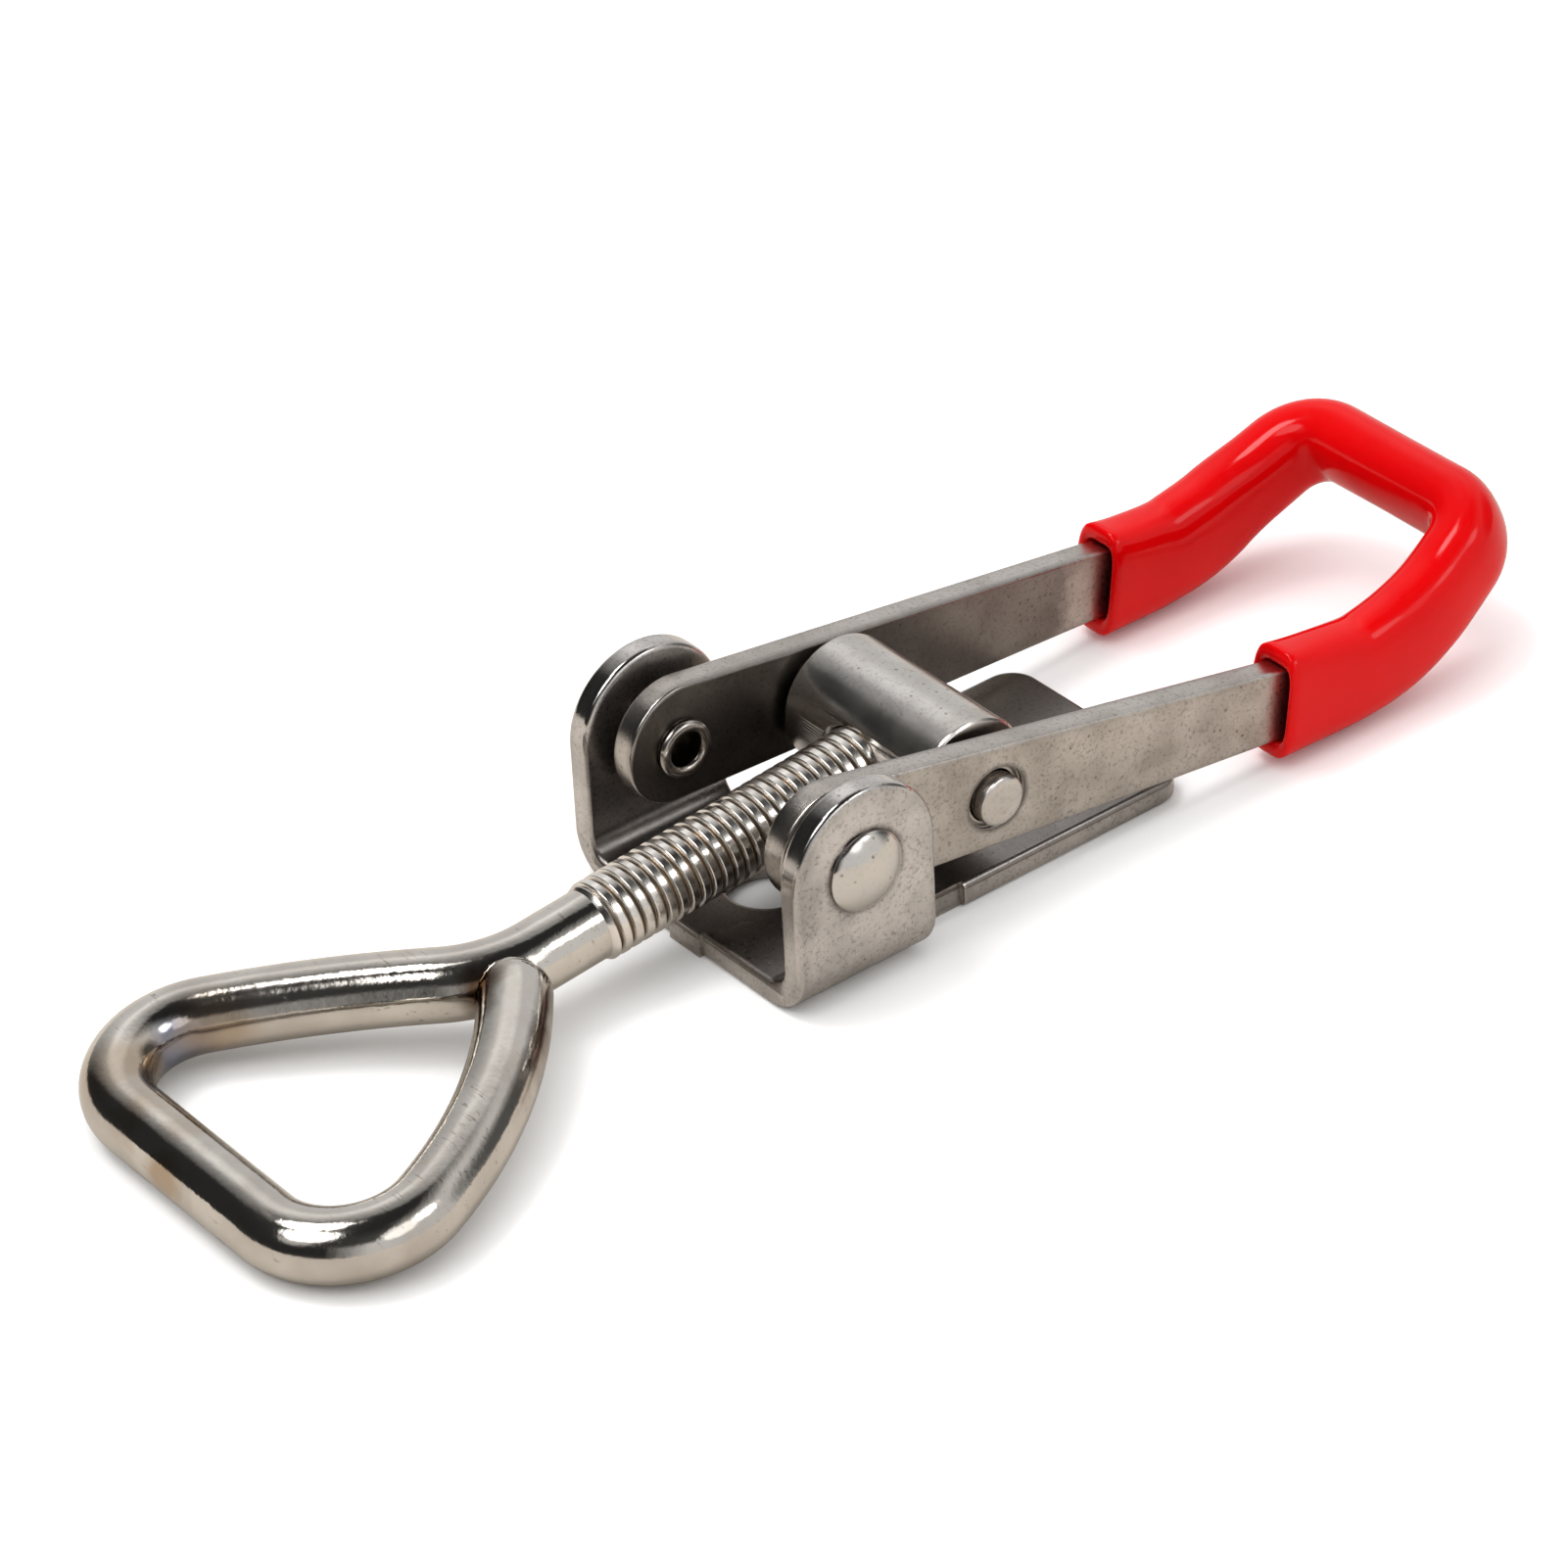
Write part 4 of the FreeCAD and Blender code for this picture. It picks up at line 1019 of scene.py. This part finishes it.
# a pivot rivet: a domed head outside the ear, and a hollow end spread over the arm inside
def makeRivet(name, side):
    ear, head, edge, end = (rivetSizes[key] for key in ("ear", "head", "edge", "end"))
    high, steps = rivetSizes["high"], rivetSizes["domeSteps"]
    rise = high - edge
    dome = (head * head + rise * rise) / (2 * rise)
    turns = [math.asin(head / dome) * step / steps for step in range(steps + 1)]
    top = [(dome * math.sin(a), ear + high - dome * (1 - math.cos(a))) for a in turns]
    top[-1:] = [(head - 0.05, ear + edge + 0.03), (head, ear + edge - 0.06), (head - 0.04, ear)]
    flare, bore, start = rivetSizes["flare"], rivetSizes["bore"], rivetSizes["start"]
    shank, deep = rivetSizes["shank"], rivetSizes["deep"]
    tail = [
        (shank, ear), (shank, start), (flare - 0.08, start - 0.08), (flare, start - 0.26),
        (flare - 0.06, end + 0.16), (flare - 0.22, end + 0.02), (bore + 0.34, end),
        (bore + 0.12, end + 0.10), (bore, end + 0.35), (bore, deep), (0.0, deep)]
    profile = [(radius, along * side) for radius, along in top + tail]
    pivot = Matrix.Translation((pivotPlace["x"], 0.0, pivotPlace["z"]))
    return turnedMesh(name, profile, pivot, angle=40.0)


# finishes of the steel pieces, with sizes in millimetres
finishes = {
    "bracket": satinSteel(
        "bracketSteel", "bracket", "bracketDark", rough=0.30, width=0.5, speckle=0.5, rim=0.17,
        # painted contact shadow round the rivet heads
        ring={
            "x": pivotPlace["x"], "z": pivotPlace["z"], "radius": rivetSizes["head"],
            "width": 0.5, "across": everywhere, "amount": 0.85},
        # painted shade on the ears' inner faces and on the floor between them
        inner={
            "across": 10.7, "slope": 0.0, "above": 1.5, "start": 30.0, "end": 29.0,
            "amount": 0.72}),
    "bar": satinSteel(
        "barSteel", "bar", "barDark", rough=0.33, grain=12000.0, bump=0.3, wear=0.9, width=0.4,
        speckle=0.5, rim=0.10,
        # painted shadow in the gap round the cross pin
        ring={
            "x": pinCentre.x, "z": pinCentre.z, "radius": barSizes["sink"], "width": 0.35,
            "across": everywhere, "amount": 0.7},
        # painted shade on the arms' inner faces
        inner={
            "across": 8.5, "slope": 0.0463, "above": -everywhere, "start": 25.5, "end": 23.5,
            "amount": 0.66}),
    "rivetNear": satinSteel(
        "rivetSteelNear", "rivet", "polished", rough=0.16, bump=0.04, wear=0.2, speckle=0.1),
    "rivetFar": satinSteel(
        "rivetSteelFar", "bar", "barDark", rough=0.22, bump=0.03, wear=0.1, speckle=0.1,
        # painted shade inside the hollow end's bore
        ring={
            "x": pivotPlace["x"], "z": pivotPlace["z"], "radius": 1.25, "width": 0.3,
            "across": 9.6, "amount": 0.97}),
    "crossPin": satinSteel(
        "turnedSteel", "rivet", "turned", rough=0.22, bump=0.2, stretch=(900.0, 5200.0, 900.0)),
}
addPiece("handleBar", makeBar(), finishes["bar"], "handle", "handle_bar")
addPiece(
    "crossPin", makeCrossPin(), finishes["crossPin"], "trunnion", "trunnion")
for name, node, side in (("rivetNear", "pivot_rivet_near", -1), ("rivetFar", "pivot_rivet_far", 1)):
    addPiece(name, makeRivet(name, side), finishes[name], "base", node)
print("stage: handle bar, cross pin and rivets")


def dress(node, material):
    if not node.data.materials:
        node.data.materials.append(material)
    for index in range(len(node.data.materials)):
        node.data.materials[index] = material


dress(nodes["base_bracket"], finishes["bracket"])
print("stage: finish on the bracket")


def makeFloor():
    size, below = 1.6, 0.00002
    shape = bmesh.new()
    bmesh.ops.create_grid(shape, x_segments=1, y_segments=1, size=size)
    bmesh.ops.translate(shape, verts=shape.verts, vec=(0, 0, cadBox[0].z - below))
    mesh = bpy.data.meshes.new("floor")
    shape.to_mesh(mesh)
    shape.free()
    mesh.materials.append(paperWhite("floorPaper"))
    floor = bpy.data.objects.new("floor", mesh)
    bpy.context.scene.collection.objects.link(floor)


# a wide glow from one side, lower down, and soft light from above for what scatters it
studio = {
    "side": (0.85, -0.35, 0.0), "sideFrom": -0.50, "sideTo": -0.06, "sideLevel": 0.72,
    "topFrom": 0.91, "topTo": 0.70, "least": 0.028,
    "above": (-0.12, 0.16, 1.0), "aboveFrom": 0.5, "aboveTo": 0.97, "around": 0.58, "over": 2.05,
}
# lights that polished metal shows: direction, inner and outer angle, and level
glints = [
    ((-0.57, 0.0, 0.82), 14.0, 17.0, 3.5),
    ((-0.21, 0.30, 0.93), 9.0, 11.5, 10.0),
    ((-0.78, 0.0, 0.62), 10.0, 13.0, 0.6),
    ((0.06, -0.81, 0.58), 12.0, 16.0, 1.0),
    ((0.42, -0.64, 0.64), 8.0, 11.0, 3.2),
    ((-0.03, 0.155, 0.985), 1.2, 2.6, 1.9),
    ((0.345, 0.453, 0.82), 15.0, 24.0, 0.34),
]
# unlit gaps between them: direction, inner and outer angle, and what is left
gaps = [
    ((0.94, -0.22, 0.20), 11.0, 26.0, 0.12),
    ((-0.345, -0.453, 0.82), 21.0, 30.0, 0.06),
]


def towards(net, along, direction):
    return net.vector("DOT_PRODUCT", along, tuple(Vector(direction).normalized()), "Value")


def cone(net, along, direction, inner, outer, outside, inside):
    near = towards(net, along, direction)
    inner, outer = math.cos(math.radians(inner)), math.cos(math.radians(outer))
    return net.ramp(near, outer, inner, outside, inside)


def makeWorld():
    world = bpy.data.worlds.new("studio")
    bpy.context.scene.world = world
    world.use_nodes = True
    net = Net(world.node_tree)
    world.node_tree.nodes.clear()
    along = net.node("ShaderNodeTexCoord").outputs["Generated"]
    height = net.axis(along, "Z")
    side = net.vector("DOT_PRODUCT", along, studio["side"], "Value")
    low = net.ramp(height, studio["topFrom"], studio["topTo"])
    glow = net.ramp(side, studio["sideFrom"], studio["sideTo"], 0.0, studio["sideLevel"])
    glow = net.math("MULTIPLY", glow, low)
    for direction, inner, outer, left in gaps:
        gap = cone(net, along, direction, inner, outer, 1.0, left)
        glow = net.math("MULTIPLY", glow, gap)
    glow = net.math("ADD", glow, studio["least"])
    for direction, inner, outer, level in glints:
        lobe = cone(net, along, direction, inner, outer, 0.0, level)
        glow = net.math("ADD", glow, lobe)
    over = towards(net, along, studio["above"])
    soft = net.ramp(
        over, studio["aboveFrom"], studio["aboveTo"], studio["around"], studio["over"])
    path = net.node("ShaderNodeLightPath")
    seen, spread = path.outputs["Is Camera Ray"], path.outputs["Is Diffuse Ray"]
    rest = net.math("SUBTRACT", net.math("SUBTRACT", 1.0, seen), spread, clamp=True)
    strength = net.math("ADD", seen, net.math("MULTIPLY", rest, glow))
    strength = net.math("ADD", strength, net.math("MULTIPLY", spread, soft))
    light = net.node("ShaderNodeBackground", {"Color": tones["light"], "Strength": strength})
    out = net.node("ShaderNodeOutputWorld")
    net.feed(light.outputs[0], out.inputs["Surface"])


# view of the photograph, in the frame of the part: angles in degrees and lengths in millimetres
photoView = {
    "azimuth": -37.14, "elevation": 34.38, "roll": 2.99, "lens": 144.37, "sensor": 36.0,
    "place": (-230.15, -290.88, 259.21), "nearest": 10.0, "farthest": 20000.0,
}


def makeCamera():
    a, e, roll = (math.radians(photoView[key]) for key in ("azimuth", "elevation", "roll"))
    right = Vector((math.cos(a), math.sin(a), 0.0))
    back = Vector((math.sin(a) * math.cos(e), -math.cos(a) * math.cos(e), math.sin(e)))
    up = back.cross(right)
    turnedRight = right * math.cos(roll) - up * math.sin(roll)
    turnedUp = right * math.sin(roll) + up * math.cos(roll)
    data = bpy.data.cameras.new("camera")
    data.lens = photoView["lens"]
    data.sensor_width = photoView["sensor"]
    data.clip_start = photoView["nearest"] * mm
    data.clip_end = photoView["farthest"] * mm
    camera = bpy.data.objects.new("camera", data)
    turn = Matrix((turnedRight, turnedUp, back)).transposed().to_4x4()
    camera.matrix_world = Matrix.Translation(Vector(photoView["place"]) * mm) @ turn
    bpy.context.scene.collection.objects.link(camera)
    bpy.context.scene.camera = camera


makeFloor()
makeWorld()
makeCamera()
bpy.context.scene.view_settings.view_transform = "Standard"
bpy.context.scene.view_settings.look = "None"
print("stage: floor, light and camera")
